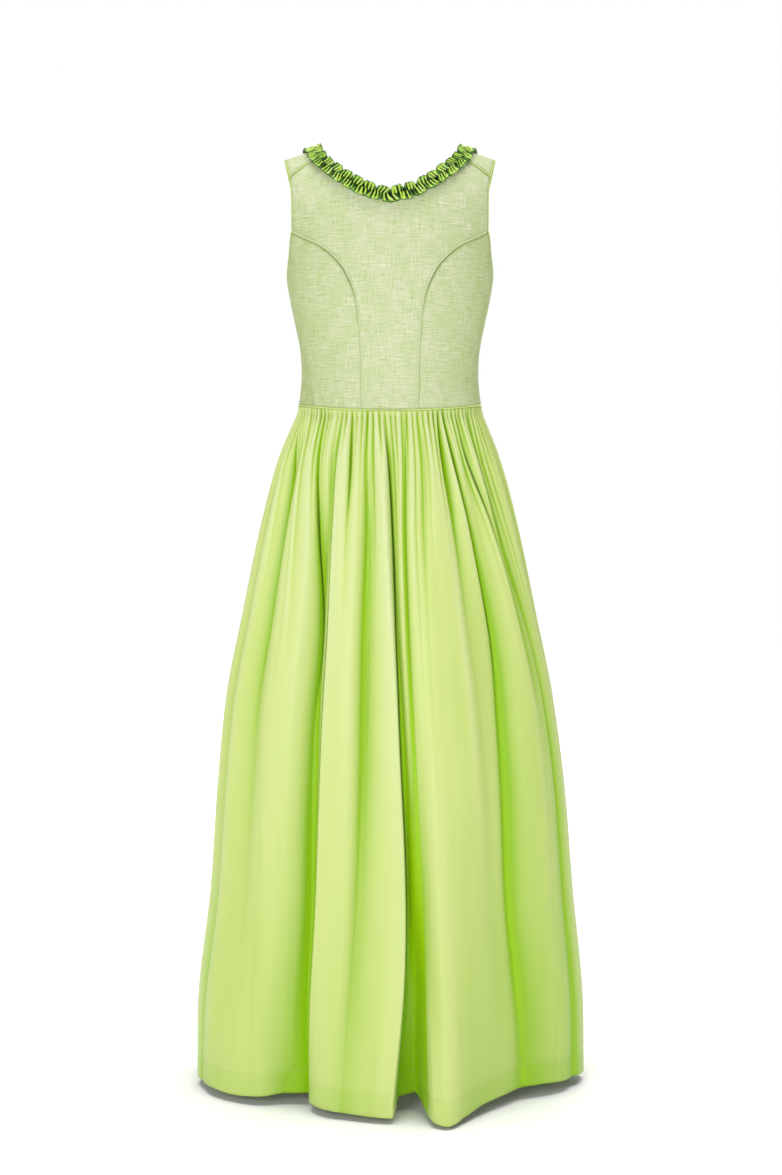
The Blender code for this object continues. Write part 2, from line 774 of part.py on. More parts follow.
def skirt_point(column, height, inset=0.0):
    """A point of the skirt's face for a column of the ring, counted from the centre back."""
    angle = column * 360.0 / SKIRT_COLUMNS
    turn = math.radians(angle)
    across, depth = skirt_radii(angle, height)
    x = across * math.sin(turn)
    y = -depth * math.cos(turn)
    out = Vector((x / across ** 2, y / depth ** 2, 0)).normalized()
    fold, rise = fold_depth(angle, height)
    shift = fold + gather_depth(column, height) - inset
    if height > -0.45:
        dip = waist_height(angle if angle <= 180 else angle - 360) - WAIST_SIDE
        rise += dip * (height + 0.45) / (SKIRT_TOP + 0.45)
    return Vector((x, y, height + rise)) + out * shift


def skirt_half(name, first, last):
    """Half of the gathered skirt between two columns of the ring."""
    outer, inner = [], []
    for height in SKIRT_ROWS:
        outer_line, inner_line = [], []
        for column in range(first, last + 1):
            place = float(column)
            point = skirt_point(place, height)
            beside = skirt_point(place + 1, height) - skirt_point(place - 1, height)
            width = beside.length
            out = Vector((point.x, point.y, 0)).normalized()
            lean = abs(beside.dot(out)) / max(width, 1e-9)
            wall = SKIRT_WALL / math.sqrt(max(1 - lean * lean, 0.10))
            outer_line.append(point)
            inner_line.append(skirt_point(place, height, wall))
        outer.append(outer_line)
        inner.append(inner_line)
    verts, faces = closed_sheet(pull_in(outer, GAP / 1.6), pull_in(inner, GAP / 1.6))
    return make_object(name, verts, faces, SKIRT_SATIN, 0.45)


# ---------------------------------------------------------------- build
for old in list(bpy.data.objects):
    bpy.data.objects.remove(old)
dress = bpy.data.collections.new("dirndl")
bpy.context.scene.collection.children.link(dress)

back_centre()
back_side("back_side_left", -1)
back_side("back_side_right", 1)
front_half("front_left", -1)
front_half("front_right", 1)
princess_piping("princess_piping_left", -1)
princess_piping("princess_piping_right", 1)
shoulder_piping("shoulder_piping_left", -1)
shoulder_piping("shoulder_piping_right", 1)
armhole_piping("armhole_piping_left", armhole_edge(-1))
armhole_piping("armhole_piping_right", armhole_edge(1))
waist_piping()
ribbon = ruche_sections()
ruche("neck_ruche_back", ribbon[: 2 * BACK_STATIONS + 1])
ruche("neck_ruche_front", ribbon[2 * BACK_STATIONS :] + ribbon[:1])
skirt_half("skirt_back", -SKIRT_COLUMNS // 4, SKIRT_COLUMNS // 4)
skirt_half("skirt_front", SKIRT_COLUMNS // 4, 3 * SKIRT_COLUMNS // 4)
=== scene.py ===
import math

import bpy
import numpy as np
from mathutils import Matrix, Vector


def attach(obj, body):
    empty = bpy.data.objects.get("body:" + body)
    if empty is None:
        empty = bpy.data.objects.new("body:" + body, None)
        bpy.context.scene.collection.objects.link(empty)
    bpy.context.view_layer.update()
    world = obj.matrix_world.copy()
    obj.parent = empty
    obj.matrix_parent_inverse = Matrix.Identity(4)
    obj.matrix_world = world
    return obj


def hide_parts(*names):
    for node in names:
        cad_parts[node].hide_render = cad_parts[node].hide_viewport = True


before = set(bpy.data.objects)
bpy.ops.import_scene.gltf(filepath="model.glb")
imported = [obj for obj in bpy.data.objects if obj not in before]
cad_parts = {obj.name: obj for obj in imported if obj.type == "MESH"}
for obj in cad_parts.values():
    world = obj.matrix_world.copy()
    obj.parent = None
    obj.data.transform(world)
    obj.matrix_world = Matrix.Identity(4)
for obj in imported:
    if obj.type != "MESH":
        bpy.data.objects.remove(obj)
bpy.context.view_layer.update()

bl_info = {
    "name": "Dirndl",
    "version": (1, 0, 0),
    "blender": (4, 5, 0),
    "location": "View3D > Sidebar > Dirndl",
    "description": "Sleeveless dirndl with a ruched neck ribbon and a gathered satin skirt",
    "category": "Add Mesh",
}

# ------------------------------------------------------------------ form of the dress
# Sizes are in metres and angles in degrees from the centre back, unless a line says more.
GAP = 0.0003  # free space between pieces that touch
BODICE_WALL = 0.0016  # linen with its backing
SKIRT_WALL = 0.0010  # satin
PIPING_RADIUS = 0.0011  # covered cord in the waist seam
CORD_RADIUS = 0.0009  # and at the armholes and shoulders
PRINCESS_WIDTH = 0.0032  # raised strip on the back seams
RUCHE_WIDTH = 0.0235  # gathered ribbon round the neck
RUCHE_UNIT = 0.0192  # length of one gathered unit
RUCHE_OVERHANG = 0.0040  # how far the ribbon reaches past the neck edge
FLANK = -0.120  # height above which the cloth turns over the shoulders
OVER = 0.300  # path length counted for the way over a shoulder
TABLE_RISE = 0.120  # how far over FLANK the body table is read at the shoulder's ridge
NECK_RISE = 0.0415  # shoulder height over the neck centre, if it ran on
SHOULDER_SLOPE = 0.31  # drop of the shoulder per metre outwards
WAIST_BACK = -0.3735  # lower edge of the bodice at the centre back
WAIST_SIDE = -0.3665  # and at the sides
SECTION_POWER = 2.3  # 2 is an ellipse, more is squarer
SKIRT_TOP = -0.3693  # upper edge of the skirt at the sides, just under the waist cord
HEM = -1.376  # mean height of the hem
GATHERS = 104  # small gathers sewn into the waist
SKIRT_CUT = (1.00, 1.035)  # width and length of each half before it is gathered
SIDES = (("left", -1), ("right", 1))
LINE_STEPS = 16  # points between two cells of a seam line

# Body of the bodice: height, half width, depth to the back, depth to the front
BODY = (
    (-0.376, 0.1375, 0.088, 0.103),
    (-0.352, 0.1335, 0.0875, 0.103),
    (-0.325, 0.1315, 0.0885, 0.106),
    (-0.29, 0.1332, 0.0925, 0.115),
    (-0.255, 0.1396, 0.098, 0.124),
    (-0.22, 0.1471, 0.1025, 0.126),
    (-0.18, 0.1534, 0.106, 0.119),
    (-0.145, 0.1545, 0.1075, 0.108),
    (-0.12, 0.158, 0.107, 0.101),
    (-0.08, 0.163, 0.106, 0.093),
    (-0.03, 0.167, 0.105, 0.086),
    (0.05, 0.168, 0.104, 0.082),
)
# Back princess seam: height, distance from the centre
PRINCESS = (
    (-0.373, 0.041),
    (-0.33, 0.0418),
    (-0.274, 0.0434),
    (-0.2237, 0.048),
    (-0.195, 0.0552),
    (-0.164, 0.072),
    (-0.138, 0.1005),
    (-0.124, 0.129),
    (-0.115, 0.1435),
)
# Side seam: height, angle from the centre back on the left and on the right
SIDE_SEAM = (
    (-0.372, 52, 94),
    (-0.335, 60.5, 94),
    (-0.294, 71, 94),
    (-0.24, 84, 93),
    (-0.186, 91, 92),
)
# Armhole edges and neck edges: height, distance from the centre
BACK_ARMHOLE = (
    (-0.115, 0.1435),
    (-0.085, 0.1435),
    (-0.056, 0.144),
    (-0.035, 0.1465),
)
FRONT_ARMHOLE = (
    (-0.035, 0.1465),
    (-0.0067, 0.1555),
    (-0.035, 0.15),
    (-0.075, 0.1395),
    (-0.115, 0.134),
    (-0.145, 0.137),
    (-0.17, 0.146),
)
NECK_BACK = (
    (-0.06, 0),
    (-0.0575, 0.012),
    (-0.05, 0.036),
    (-0.033, 0.065),
    (-0.015, 0.0885),
    (-0.004, 0.099),
)
NECK_FRONT = (
    (-0.004, 0.099),
    (0.0085, 0.1065),
    (-0.004, 0.1095),
    (-0.04, 0.1105),
    (-0.08, 0.108),
    (-0.12, 0.1025),
    (-0.15, 0.091),
    (-0.172, 0.069),
    (-0.18, 0.04),
    (-0.182, 0),
)
# Skirt body: height, half width left, half width right, depth to the back, to the front
SKIRT_BODY = (
    (-0.368, 0.1355, 0.135, 0.088, 0.103),
    (-0.376, 0.137, 0.1365, 0.0895, 0.1045),
    (-0.385, 0.14, 0.139, 0.092, 0.107),
    (-0.41, 0.151, 0.149, 0.101, 0.117),
    (-0.445, 0.1645, 0.162, 0.112, 0.129),
    (-0.5, 0.1798, 0.178, 0.125, 0.142),
    (-0.58, 0.1985, 0.1968, 0.138, 0.154),
    (-0.68, 0.219, 0.217, 0.152, 0.167),
    (-0.8, 0.243, 0.2412, 0.168, 0.18),
    (-0.94, 0.257, 0.26, 0.183, 0.193),
    (-1.1, 0.2682, 0.273, 0.195, 0.203),
    (-1.25, 0.2865, 0.288, 0.203, 0.211),
    (-1.38, 0.289, 0.291, 0.208, 0.216),
)
# Large folds: their angle at each of four heights, their depth there, and how far they
# lift the hem. A fold with a negative depth is a valley.
FOLD_HEIGHTS = (-0.47, -0.8, -1.14, -1.36)
FOLDS = (
    # four angles, four depths, lift
    (-85, -84, -84, -84, 0.001, 0.002, 0.003, 0.003, 0),
    (-77, -75, -74.5, -74, -0.003, -0.004, 0.001, 0.006, 0),
    (-68, -66, -65, -64, 0.003, 0.005, 0.007, 0.008, 0),
    (-58, -54, -53.5, -53, -0.008, -0.008, -0.002, 0.004, -0.002),
    (-48, -44, -43, -42, 0.004, 0.007, 0, -0.008, 0),
    (-38, -36, -35.5, -35, 0.002, 0.002, -0.01, -0.03, 0.004),
    (-31, -27, -27, -28, -0.008, -0.02, -0.026, -0.036, 0.004),
    (-25, -22.8, -23.4, -25.2, 0.003, 0.01, 0.008, -0.012, 0),
    (-16, -14, -14.5, -15, 0.003, 0.013, 0.014, 0.015, -0.003),
    (-9, -8, -9, -11, -0.004, -0.003, 0.004, 0.018, -0.004),
    (-3, 2.2, 4.2, 0.6, 0.003, 0.011, 0.018, 0.03, -0.005),
    (0, 3.8, 5.6, 2.8, -0.006, -0.003, -0.01, -0.026, 0.01),
    (3.5, 5.6, 7, 8, -0.001, 0.005, -0.005, -0.036, 0.013),
    (7, 9, 10.6, 10.8, 0.002, 0.009, 0.02, 0.05, -0.006),
    (15, 14, 14, 14, 0.003, 0.016, 0.04, 0.064, -0.009),
    (20, 19.5, 19.5, 19.5, 0.004, 0.014, 0.027, 0.04, -0.004),
    (26, 27.5, 27, 27, 0.003, 0.01, 0.009, 0.008, 0.002),
    (30, 33.5, 35, 36, -0.007, -0.006, -0.01, -0.014, 0.004),
    (37, 43, 42.6, 45, 0.002, -0.014, -0.018, -0.026, 0.006),
    (43, 51, 53, 55, -0.006, -0.002, -0.011, -0.02, 0.006),
    (51, 59, 62, 65, 0.003, 0.003, -0.004, -0.01, 0.004),
    (58, 67, 70, 73, -0.007, -0.003, -0.005, -0.006, 0.003),
    (73, 77, 79, 81, 0.001, 0.001, 0.001, 0, 0.001),
    (86, 88, 89, 90, 0.001, 0.002, 0.003, 0.003, 0),
    (99, 100, 100.5, 101, -0.004, -0.01, -0.016, -0.022, 0),
    (110, 111, 111.5, 112, 0.003, 0.01, 0.016, 0.022, 0),
    (122, 121, 121.5, 122, -0.004, -0.014, -0.024, -0.034, 0),
    (131, 133, 133.5, 134, 0.004, 0.013, 0.021, 0.03, 0),
    (143, 144, 145.5, 147, -0.006, -0.015, -0.028, -0.04, 0),
    (153, 156, 157.5, 159, 0.004, 0.014, 0.025, 0.036, 0),
    (165, 167, 168.5, 170, -0.004, -0.012, -0.021, -0.03, 0),
    (177, 179, 180, 181, 0.004, 0.014, 0.024, 0.034, 0),
    (190, 191, 192, 193, -0.006, -0.016, -0.029, -0.042, 0),
    (201, 204, 205, 206, 0.004, 0.012, 0.023, 0.034, 0),
    (214, 216, 216.5, 217, -0.004, -0.013, -0.024, -0.034, 0),
    (226, 228, 228.5, 229, 0.003, 0.012, 0.02, 0.028, 0),
    (239, 240, 240.5, 241, -0.005, -0.012, -0.021, -0.03, 0),
    (250, 252, 252.5, 253, 0.003, 0.009, 0.014, 0.02, 0),
    (262, 263, 263.5, 264, -0.003, -0.006, -0.01, -0.014, 0),
)


# ------------------------------------------------------------------ curves and faces
def clamp(value):
    return min(max(value, 0.0), 1.0)


def bell(off, width):
    """1 on a line, fading out over a width on both sides."""
    return np.exp(-((off / width) ** 2))


def unit(vectors):
    return vectors / np.linalg.norm(vectors, axis=-1, keepdims=True)


def hermite(part, low, high, leaving, arriving):
    """A smooth curve between two values, from its slopes per span at both ends."""
    square, cube = part ** 2, part ** 3
    return (
        (2 * cube - 3 * square + 1) * low
        + (cube - 2 * square + part) * leaving
        + (3 * square - 2 * cube) * high
        + (cube - square) * arriving
    )


def ease(rows, at, column=1):
    """The value of a table's column at a key, on a smooth curve through the rows."""
    keys = [row[0] for row in rows]
    values = [row[column] for row in rows]
    if keys[0] > keys[-1]:
        keys.reverse()
        values.reverse()
    last = len(keys) - 1
    at = min(max(at, keys[0]), keys[last])
    index = 0
    while index < last - 1 and at > keys[index + 1]:
        index += 1
    span = keys[index + 1] - keys[index]
    slopes = []
    for place in (index, index + 1):
        low, high = max(place - 1, 0), min(place + 1, last)
        slopes.append(span * (values[high] - values[low]) / (keys[high] - keys[low]))
    return hermite((at - keys[index]) / span, values[index], values[index + 1], *slopes)


def signed_power(value, power):
    return math.copysign(abs(value) ** power, value)


def front_path(height):
    """The path on the front at a height, and back again."""
    return 2 * FLANK + OVER - height


def table_height(path):
    """The height at which the body table is read for a path that runs over the shoulder."""
    if path < FLANK:
        return path
    if path > FLANK + OVER:
        return front_path(path)
    return FLANK + TABLE_RISE * math.sin(math.pi * (path - FLANK) / OVER)


def ridge_height(across):
    """Height of the shoulder's ridge at a distance from the centre line."""
    return NECK_RISE - SHOULDER_SLOPE * abs(across)


def body_point(angle, path):
    """A point of the bodice's outer face, from its angle and its path over the shoulder."""
    height = table_height(path)
    power = 2 / SECTION_POWER
    across = math.radians(angle)
    x = ease(BODY, height, 1) * signed_power(math.sin(across), power)
    toward = signed_power(math.cos(across), power)
    z = height
    if FLANK <= path <= FLANK + OVER:
        turn = math.pi * (path - FLANK) / OVER
        z = FLANK + (ridge_height(x) - FLANK) * math.sin(turn)
        toward *= abs(math.cos(turn))
    front_side = (path > FLANK + OVER / 2) == (toward > 0)
    y = ease(BODY, height, 3 if front_side else 2) * abs(toward)
    return Vector((x, y if front_side else -y, z))


def body_normal(angle, path):
    """The outward direction of the bodice's face."""
    turn, rise = 0.4, 0.0008  # small steps to both sides, in degrees and metres
    across = body_point(angle + turn, path) - body_point(angle - turn, path)
    along = body_point(angle, path + rise) - body_point(angle, path - rise)
    return across.cross(along).normalized()


def lifted(cell, height):
    return body_point(*cell) + body_normal(*cell) * height


def angle_at(path, across):
    """The angle at which the bodice's face is this far from the centre line."""
    share = min(abs(across) / ease(BODY, table_height(path), 1), 0.999)
    return math.copysign(math.degrees(math.asin(share ** (SECTION_POWER / 2))), across)


def cell_at(height, across, on_front=False):
    """The (angle, path) of the face at a height and a distance from the centre line."""
    path = height
    if height > FLANK:
        share = min((height - FLANK) / (ridge_height(across) - FLANK), 1.0)
        path = FLANK + OVER / math.pi * math.asin(share)
    if on_front:
        path = front_path(path)
    return angle_at(path, across), path


def table_cells(rows, back_rows):
    """Cells of a seam table whose first rows lie on the back and the others on the front."""
    return [cell_at(row[0], row[1], index >= back_rows) for index, row in enumerate(rows)]


def waist_height(angle_from_back):
    """The bodice's lower edge dips a little at the centre back."""
    dip = max(math.cos(math.radians(angle_from_back)), 0.0) ** 2
    return WAIST_SIDE + (WAIST_BACK - WAIST_SIDE) * dip


def spaced(cells, count, side=1):
    """Evenly spaced (angle, path) points on a smooth line through some cells."""
    knots = np.array(cells)
    last = len(knots) - 1
    fine = []
    for index in range(last):
        low, high = knots[index], knots[index + 1]
        leaving = (high - knots[max(index - 1, 0)]) / 2
        arriving = (knots[min(index + 2, last)] - low) / 2
        for part in np.arange(LINE_STEPS) / LINE_STEPS:
            fine.append(hermite(part, low, high, leaving, arriving))
    fine = np.array(fine + [knots[-1]])
    places = [body_point(*cell) for cell in fine]
    lengths = [(high - low).length for low, high in zip(places, places[1:])]
    lengths = np.concatenate([[0.0], np.cumsum(lengths)])
    at = np.linspace(0.0, lengths[-1], count + 1)
    angles = side * np.interp(at, lengths, fine[:, 0])
    return list(zip(angles.tolist(), np.interp(at, lengths, fine[:, 1]).tolist()))


def straight(start, end, count):
    return [
        (
            start[0] + (end[0] - start[0]) * index / count,
            start[1] + (end[1] - start[1]) * index / count,
        )
        for index in range(count + 1)
    ]


def filled(bottom, top, left, right, hold=1.0):
    """A grid of (angle, path) between four edges that share their corners."""
    columns = len(bottom) - 1
    rows = len(left) - 1
    grid = []
    for row in range(rows + 1):
        v = (row / rows) ** hold
        line = []
        for column in range(columns + 1):
            u = column / columns
            cell = []
            for axis in (0, 1):
                edges = (
                    (1 - v) * bottom[column][axis]
                    + v * top[column][axis]
                    + (1 - u) * left[row][axis]
                    + u * right[row][axis]
                )
                corners = (
                    (1 - u) * (1 - v) * bottom[0][axis]
                    + u * (1 - v) * bottom[-1][axis]
                    + (1 - u) * v * top[0][axis]
                    + u * v * top[-1][axis]
                )
                cell.append(edges - corners)
            line.append(tuple(cell))
        grid.append(line)
    return grid


def princess_line(count, side=1):
    return spaced([cell_at(*row) for row in PRINCESS], count, side)


def back_armhole_line(count, side=1):
    return spaced([cell_at(*row) for row in BACK_ARMHOLE], count, side)


def seam_angle(height, side):
    return ease(SIDE_SEAM, height, 1 if side < 0 else 2)


def underarm_line(side, count):
    """The armhole edge of the side back, from the princess seam to the side seam."""
    start = princess_line(1, side)[-1]
    end = (side * seam_angle(SIDE_SEAM[-1][0], side), SIDE_SEAM[-1][0])
    cells = []
    for index in range(count + 1):
        part = index / count
        sink = math.sin(part * math.pi / 2) ** 1.3
        angle = start[0] + (end[0] - start[0]) * part
        cells.append((angle, start[1] + (end[1] - start[1]) * sink))
    return cells


def front_armhole_line(side, count):
    """The armhole edge of the front, from the underarm to the seam behind the shoulder."""
    height = SIDE_SEAM[-1][0]
    first = (180 - seam_angle(height, side), front_path(height))
    cells = table_cells(FRONT_ARMHOLE, 1)
    return spaced([first] + cells[::-1], count, side)


# ------------------------------------------------------------------ meshes
def wave_sum(place, seeds):
    """Smooth uneven values near -1 to 1 from a few sines, the same on every run."""
    total = 0.0
    for index, (pitch, phase) in enumerate(seeds):
        total = total + np.sin(place * pitch + phase) / (1 + 0.35 * index)
    return total / (0.8 * len(seeds))


def chance(number):
    """A fixed value from 0 to 1 for a whole number."""
    value = np.sin(np.asarray(number, dtype=float) * 12.9898 + 4.137) * 43758.5453
    return value - np.floor(value)


def grid_normals(points):
    across = np.gradient(points, axis=1)
    along = np.gradient(points, axis=0)
    normals = np.cross(across, along)
    return normals / np.maximum(np.linalg.norm(normals, axis=2, keepdims=True), 1e-12)


def arc_lengths(points):
    """Cloth coordinates of a grid in metres: across from its middle column, and up."""
    across = np.linalg.norm(np.diff(points, axis=1), axis=2)
    across = np.concatenate([np.zeros((len(points), 1)), np.cumsum(across, axis=1)], axis=1)
    across -= across[:, [across.shape[1] // 2]]
    along = np.linalg.norm(np.diff(points, axis=0), axis=2).mean(axis=1)
    along = np.concatenate([[0.0], np.cumsum(along)])
    return np.dstack([across, np.broadcast_to(along[:, None], across.shape)])


def sheet_faces(rows, columns):
    """Quads of a closed wall whose outer grid comes first and inner grid second."""
    corner = np.arange(rows * columns).reshape(rows, columns)
    low, right = corner[:-1, :-1].ravel(), corner[:-1, 1:].ravel()
    high, across = corner[1:, :-1].ravel(), corner[1:, 1:].ravel()
    back = rows * columns
    outer = np.stack([low, right, across, high], axis=1)
    inner = np.stack([low, high, across, right], axis=1) + back
    rim = np.concatenate(
        [corner[0, :], corner[1:, -1], corner[-1, -2::-1], corner[-2:0:-1, 0]]
    )
    after = np.roll(rim, -1)
    edge = np.stack([rim, rim + back, after + back, after], axis=1)
    return np.concatenate([outer, inner, edge])


def add_object(name, data, material):
    """A new object of the scene, alone in the selection."""
    piece = bpy.data.objects.new(name, data)
    bpy.context.scene.collection.objects.link(piece)
    data.materials.append(material)
    deselect_all()
    piece.select_set(True)
    bpy.context.view_layer.objects.active = piece
    return piece


def face_outwards(join_within=None):
    """Turns the active mesh's faces outwards, after joining points that lie together."""
    bpy.ops.object.mode_set(mode="EDIT")
    bpy.ops.mesh.select_all(action="SELECT")
    if join_within:
        bpy.ops.mesh.remove_doubles(threshold=join_within)
    bpy.ops.mesh.normals_make_consistent(inside=False)
    bpy.ops.object.mode_set(mode="OBJECT")


def cloth_object(name, outer, inner, cloth, material, values=None):
    """A thin closed piece of cloth from its two faces, with its cloth coordinates."""
    rows, columns = outer.shape[:2]
    verts = np.concatenate([outer.reshape(-1, 3), inner.reshape(-1, 3)])
    faces = sheet_faces(rows, columns)
    outer_faces = faces[: (rows - 1) * (columns - 1)]
    mesh = bpy.data.meshes.new(name)
    mesh.from_pydata(verts.tolist(), [], faces.tolist())
    uv = np.concatenate([cloth.reshape(-1, 2)] * 2)
    layer = mesh.uv_layers.new(name="cloth")
    loops = np.empty(len(mesh.loops), dtype=np.int32)
    mesh.loops.foreach_get("vertex_index", loops)
    layer.data.foreach_set("uv", uv[loops].astype(np.float32).ravel())
    for key, grid in (values or {}).items():
        layer = mesh.attributes.new(key, "FLOAT", "POINT")
        layer.data.foreach_set("value", np.concatenate([grid.ravel()] * 2).astype(np.float32))
    piece = add_object(name, mesh, material)
    for polygon in mesh.polygons:
        polygon.use_smooth = True
    corners = verts[outer_faces]
    turned = np.cross(corners[:, 1] - corners[:, 0], corners[:, 2] - corners[:, 0])
    outwards = verts[: rows * columns] - verts[rows * columns :]
    if (turned * outwards[outer_faces[:, 0]]).sum() < 0:
        mesh.flip_normals()
    return piece


def deselect_all():
    for obj in bpy.context.selected_objects:
        obj.select_set(False)


def keep(piece, nodes):
    """Lets a piece ride with the dress and stand for its CAD solids, which it hides."""
    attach(piece, "root")
    if nodes:
        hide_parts(*nodes)


# ------------------------------------------------------------------ materials
class Nodes:
    """Short ways to add and join the nodes of one material."""

    def __init__(self, name):
        self.material = bpy.data.materials.new(name)
        self.material.use_nodes = True
        self.tree = self.material.node_tree
        self.shader = self.tree.nodes["Principled BSDF"]

    def fill(self, node, inputs):
        """Joins sockets to a node's inputs, and sets the others to plain values."""
        for key, value in inputs.items():
            if isinstance(value, bpy.types.NodeSocket):
                self.tree.links.new(value, node.inputs[key])
            else:
                node.inputs[key].default_value = value

    def use(self, kind, output, inputs, **settings):
        node = self.tree.nodes.new(kind)
        for key, value in settings.items():
            setattr(node, key, value)
        self.fill(node, inputs)
        return node.outputs[output]

    def uv(self):
        return self.use("ShaderNodeUVMap", "UV", {}, uv_map="cloth")

    def place(self):
        return self.use("ShaderNodeTexCoord", "Object", {})

    def value(self, name):
        return self.use("ShaderNodeAttribute", "Fac", {}, attribute_name=name)

    def noise(self, vector, scale, detail=3.0, roughness=0.5, distortion=0.0, stretch=None):
        """Noise, its scale times the stretch along each axis."""
        if stretch:
            inputs = {"Vector": vector, "Scale": stretch}
            vector = self.use("ShaderNodeMapping", "Vector", inputs)
        inputs = {"Vector": vector, "Scale": scale, "Detail": detail, "Roughness": roughness}
        inputs["Distortion"] = distortion
        return self.use("ShaderNodeTexNoise", "Fac", inputs)

    def wave(self, vector, scale, direction, distortion):
        inputs = {"Vector": vector, "Scale": scale, "Distortion": distortion}
        inputs.update({"Detail": 1.0, "Detail Scale": 0.3})
        settings = {"wave_type": "BANDS", "bands_direction": direction}
        return self.use("ShaderNodeTexWave", "Fac", inputs, **settings)

    def weave(self, cloth, threads, uneven):
        """Crossing threads, as many to the metre each way as the scale gives."""
        weft = self.wave(cloth, threads, "X", uneven)
        return self.math("ADD", weft, self.wave(cloth, threads, "Y", uneven))

    def centred(self, factor, strength):
        """A noise's value moved to lie evenly round 0."""
        return self.math("MULTIPLY", self.math("SUBTRACT", factor, 0.5), strength)

    def ramp(self, factor, stops):
        node = self.tree.nodes.new("ShaderNodeValToRGB")
        elements = node.color_ramp.elements
        while len(elements) < len(stops):
            elements.new(0.5)
        for element, (place, color) in zip(elements, stops):
            element.position = place
            element.color = (*color, 1.0)
        self.fill(node, {"Fac": factor})
        return node.outputs["Color"]

    def range(self, factor, low, high, to_low=0.0, to_high=1.0):
        inputs = {"Value": factor, "From Min": low, "From Max": high}
        inputs.update({"To Min": to_low, "To Max": to_high})
        settings = {"interpolation_type": "SMOOTHSTEP"}
        return self.use("ShaderNodeMapRange", "Result", inputs, **settings)

    def math(self, operation, first, second):
        return self.use("ShaderNodeMath", "Value", {0: first, 1: second}, operation=operation)

    def sum(self, first, share, second):
        """A share of one value and the rest of another."""
        first = self.math("MULTIPLY", first, share)
        return self.math("ADD", first, self.math("MULTIPLY", second, 1.0 - share))

    def mix(self, factor, first, second, blend="MIX"):
        """A mix of a socket's colour and another colour."""
        if isinstance(second, tuple):
            second = (*second, 1.0)
        inputs = {"Factor": factor, 6: first, 7: second}
        return self.use("ShaderNodeMix", 2, inputs, data_type="RGBA", blend_type=blend)

    def bump(self, height, strength, distance, before=None):
        inputs = {"Height": height, "Strength": strength, "Distance": distance}
        if before:
            inputs["Normal"] = before
        return self.use("ShaderNodeBump", "Normal", inputs)

    def finish(self, color, roughness, normal, **numbers):
        inputs = {key.replace("_", " "): number for key, number in numbers.items()}
        inputs.update({"Base Color": color, "Roughness": roughness, "Normal": normal})
        self.fill(self.shader, inputs)
        return self.material


def tint(color, factor):
    return tuple(min(channel * factor, 1.0) for channel in color)


def toned(color, factors):
    """A colour with each of its channels times a factor of its own."""
    return tuple(channel * factor for channel, factor in zip(color, factors))


def paled(color, share):
    """A colour moved towards white."""
    return tuple(channel + (1 - channel) * share for channel in color)


def slub_linen(name, color):
    """Matt linen of uneven yarns: short greener and paler slubs both ways over a weave, with
    painted shade towards the bodice's sides and in its seam grooves.
    """
    n = Nodes(name)
    cloth = n.uv()
    weft = n.noise(cloth, 1.0, 3.0, 0.65, 0.15, stretch=(45.0, 520.0, 1.0))
    warp = n.noise(cloth, 1.0, 3.0, 0.65, 0.15, stretch=(560.0, 40.0, 1.0))
    patch = n.noise(cloth, 1.0, 3.0, 0.55, stretch=(40.0, 26.0, 1.0))
    fleck = n.noise(cloth, 1.0, 2.0, 0.6, 0.2, stretch=(330.0, 900.0, 1.0))
    yarn = n.sum(weft, 0.58, warp)
    pale = paled(color, 0.50)
    stops = ((0.37, toned(color, (0.66, 0.80, 0.42))), (0.49, color), (0.55, color), (0.64, pale))
    base = n.ramp(yarn, stops)
    deeper = n.range(patch, 0.38, 0.68, 0.0, 0.45)
    base = n.mix(deeper, base, toned(color, (0.82, 0.91, 0.64)))
    base = n.mix(n.range(fleck, 0.60, 0.72, 0.0, 0.55), base, pale)
    # painted shade: the linen is darkened towards the bodice's sides, where the frontal light
    # falls off
    base = n.mix(n.value("side"), base, (0.74, 0.81, 0.60), "MULTIPLY")
    # painted shade in the seams' grooves: darker, greener linen where the groove's shade falls
    base = n.mix(n.value("seam"), base, toned(color, (0.34, 0.48, 0.10)))
    normal = n.bump(n.weave(cloth, 330.0, 0.8), 0.25, 0.00012)
    normal = n.bump(yarn, 0.55, 0.00045, normal)
    rough = n.range(yarn, 0.3, 0.7, 0.92, 0.78)
    shine = {"Specular_IOR_Level": 0.2, "Sheen_Weight": 0.10, "Sheen_Roughness": 0.5}
    return n.finish(base, rough, normal, **shine)


def satin(name, color, deep):
    """Smooth satin: a painted highlight on the round of its folds, painted shade greener in their
    valleys with a painted glow in the deepest, and painted shade lines along the creases.
    """
    n = Nodes(name)
    cloth = n.uv()
    streak = n.noise(cloth, 1.0, 2.0, 0.45, stretch=(30.0, 1.4, 1.0))
    cloud = n.noise(cloth, 1.0, 2.0, 0.5, stretch=(9.0, 3.0, 1.0))
    loose = n.centred(n.sum(streak, 0.6, cloud), 0.45)
    # painted shade colours between the satin's own colour and its deep shade colour
    between = tuple((first + second) / 2 for first, second in zip(color, deep))
    # painted glow: light shining through the satin in its deepest recesses, brighter than the
    # painted shade
    painted_glow = toned(deep, (1.06, 1.10, 0.0))
    # painted highlight at the low end, then the satin's own colour, then painted shade going
    # greener
    stops = ((0.10, paled(color, 0.20)), (0.42, color), (0.66, between), (0.84, deep))
    base = n.ramp(n.math("ADD", n.value("painted_shading"), loose), stops + ((1.0, painted_glow),))
    # painted shade: dark green lines along the creases
    base = n.mix(n.range(n.value("crease"), 0.05, 1.0), base, tint(deep, 0.20))
    normal = n.bump(n.weave(cloth, 420.0, 0.6), 0.10, 0.00008)
    normal = n.bump(streak, 0.15, 0.0010, normal)
    rough = n.range(streak, 0.3, 0.7, 0.46, 0.40)
    shine = {"Specular_IOR_Level": 0.35, "Sheen_Weight": 0.06, "Sheen_Roughness": 0.35}
    return n.finish(base, rough, normal, **shine)


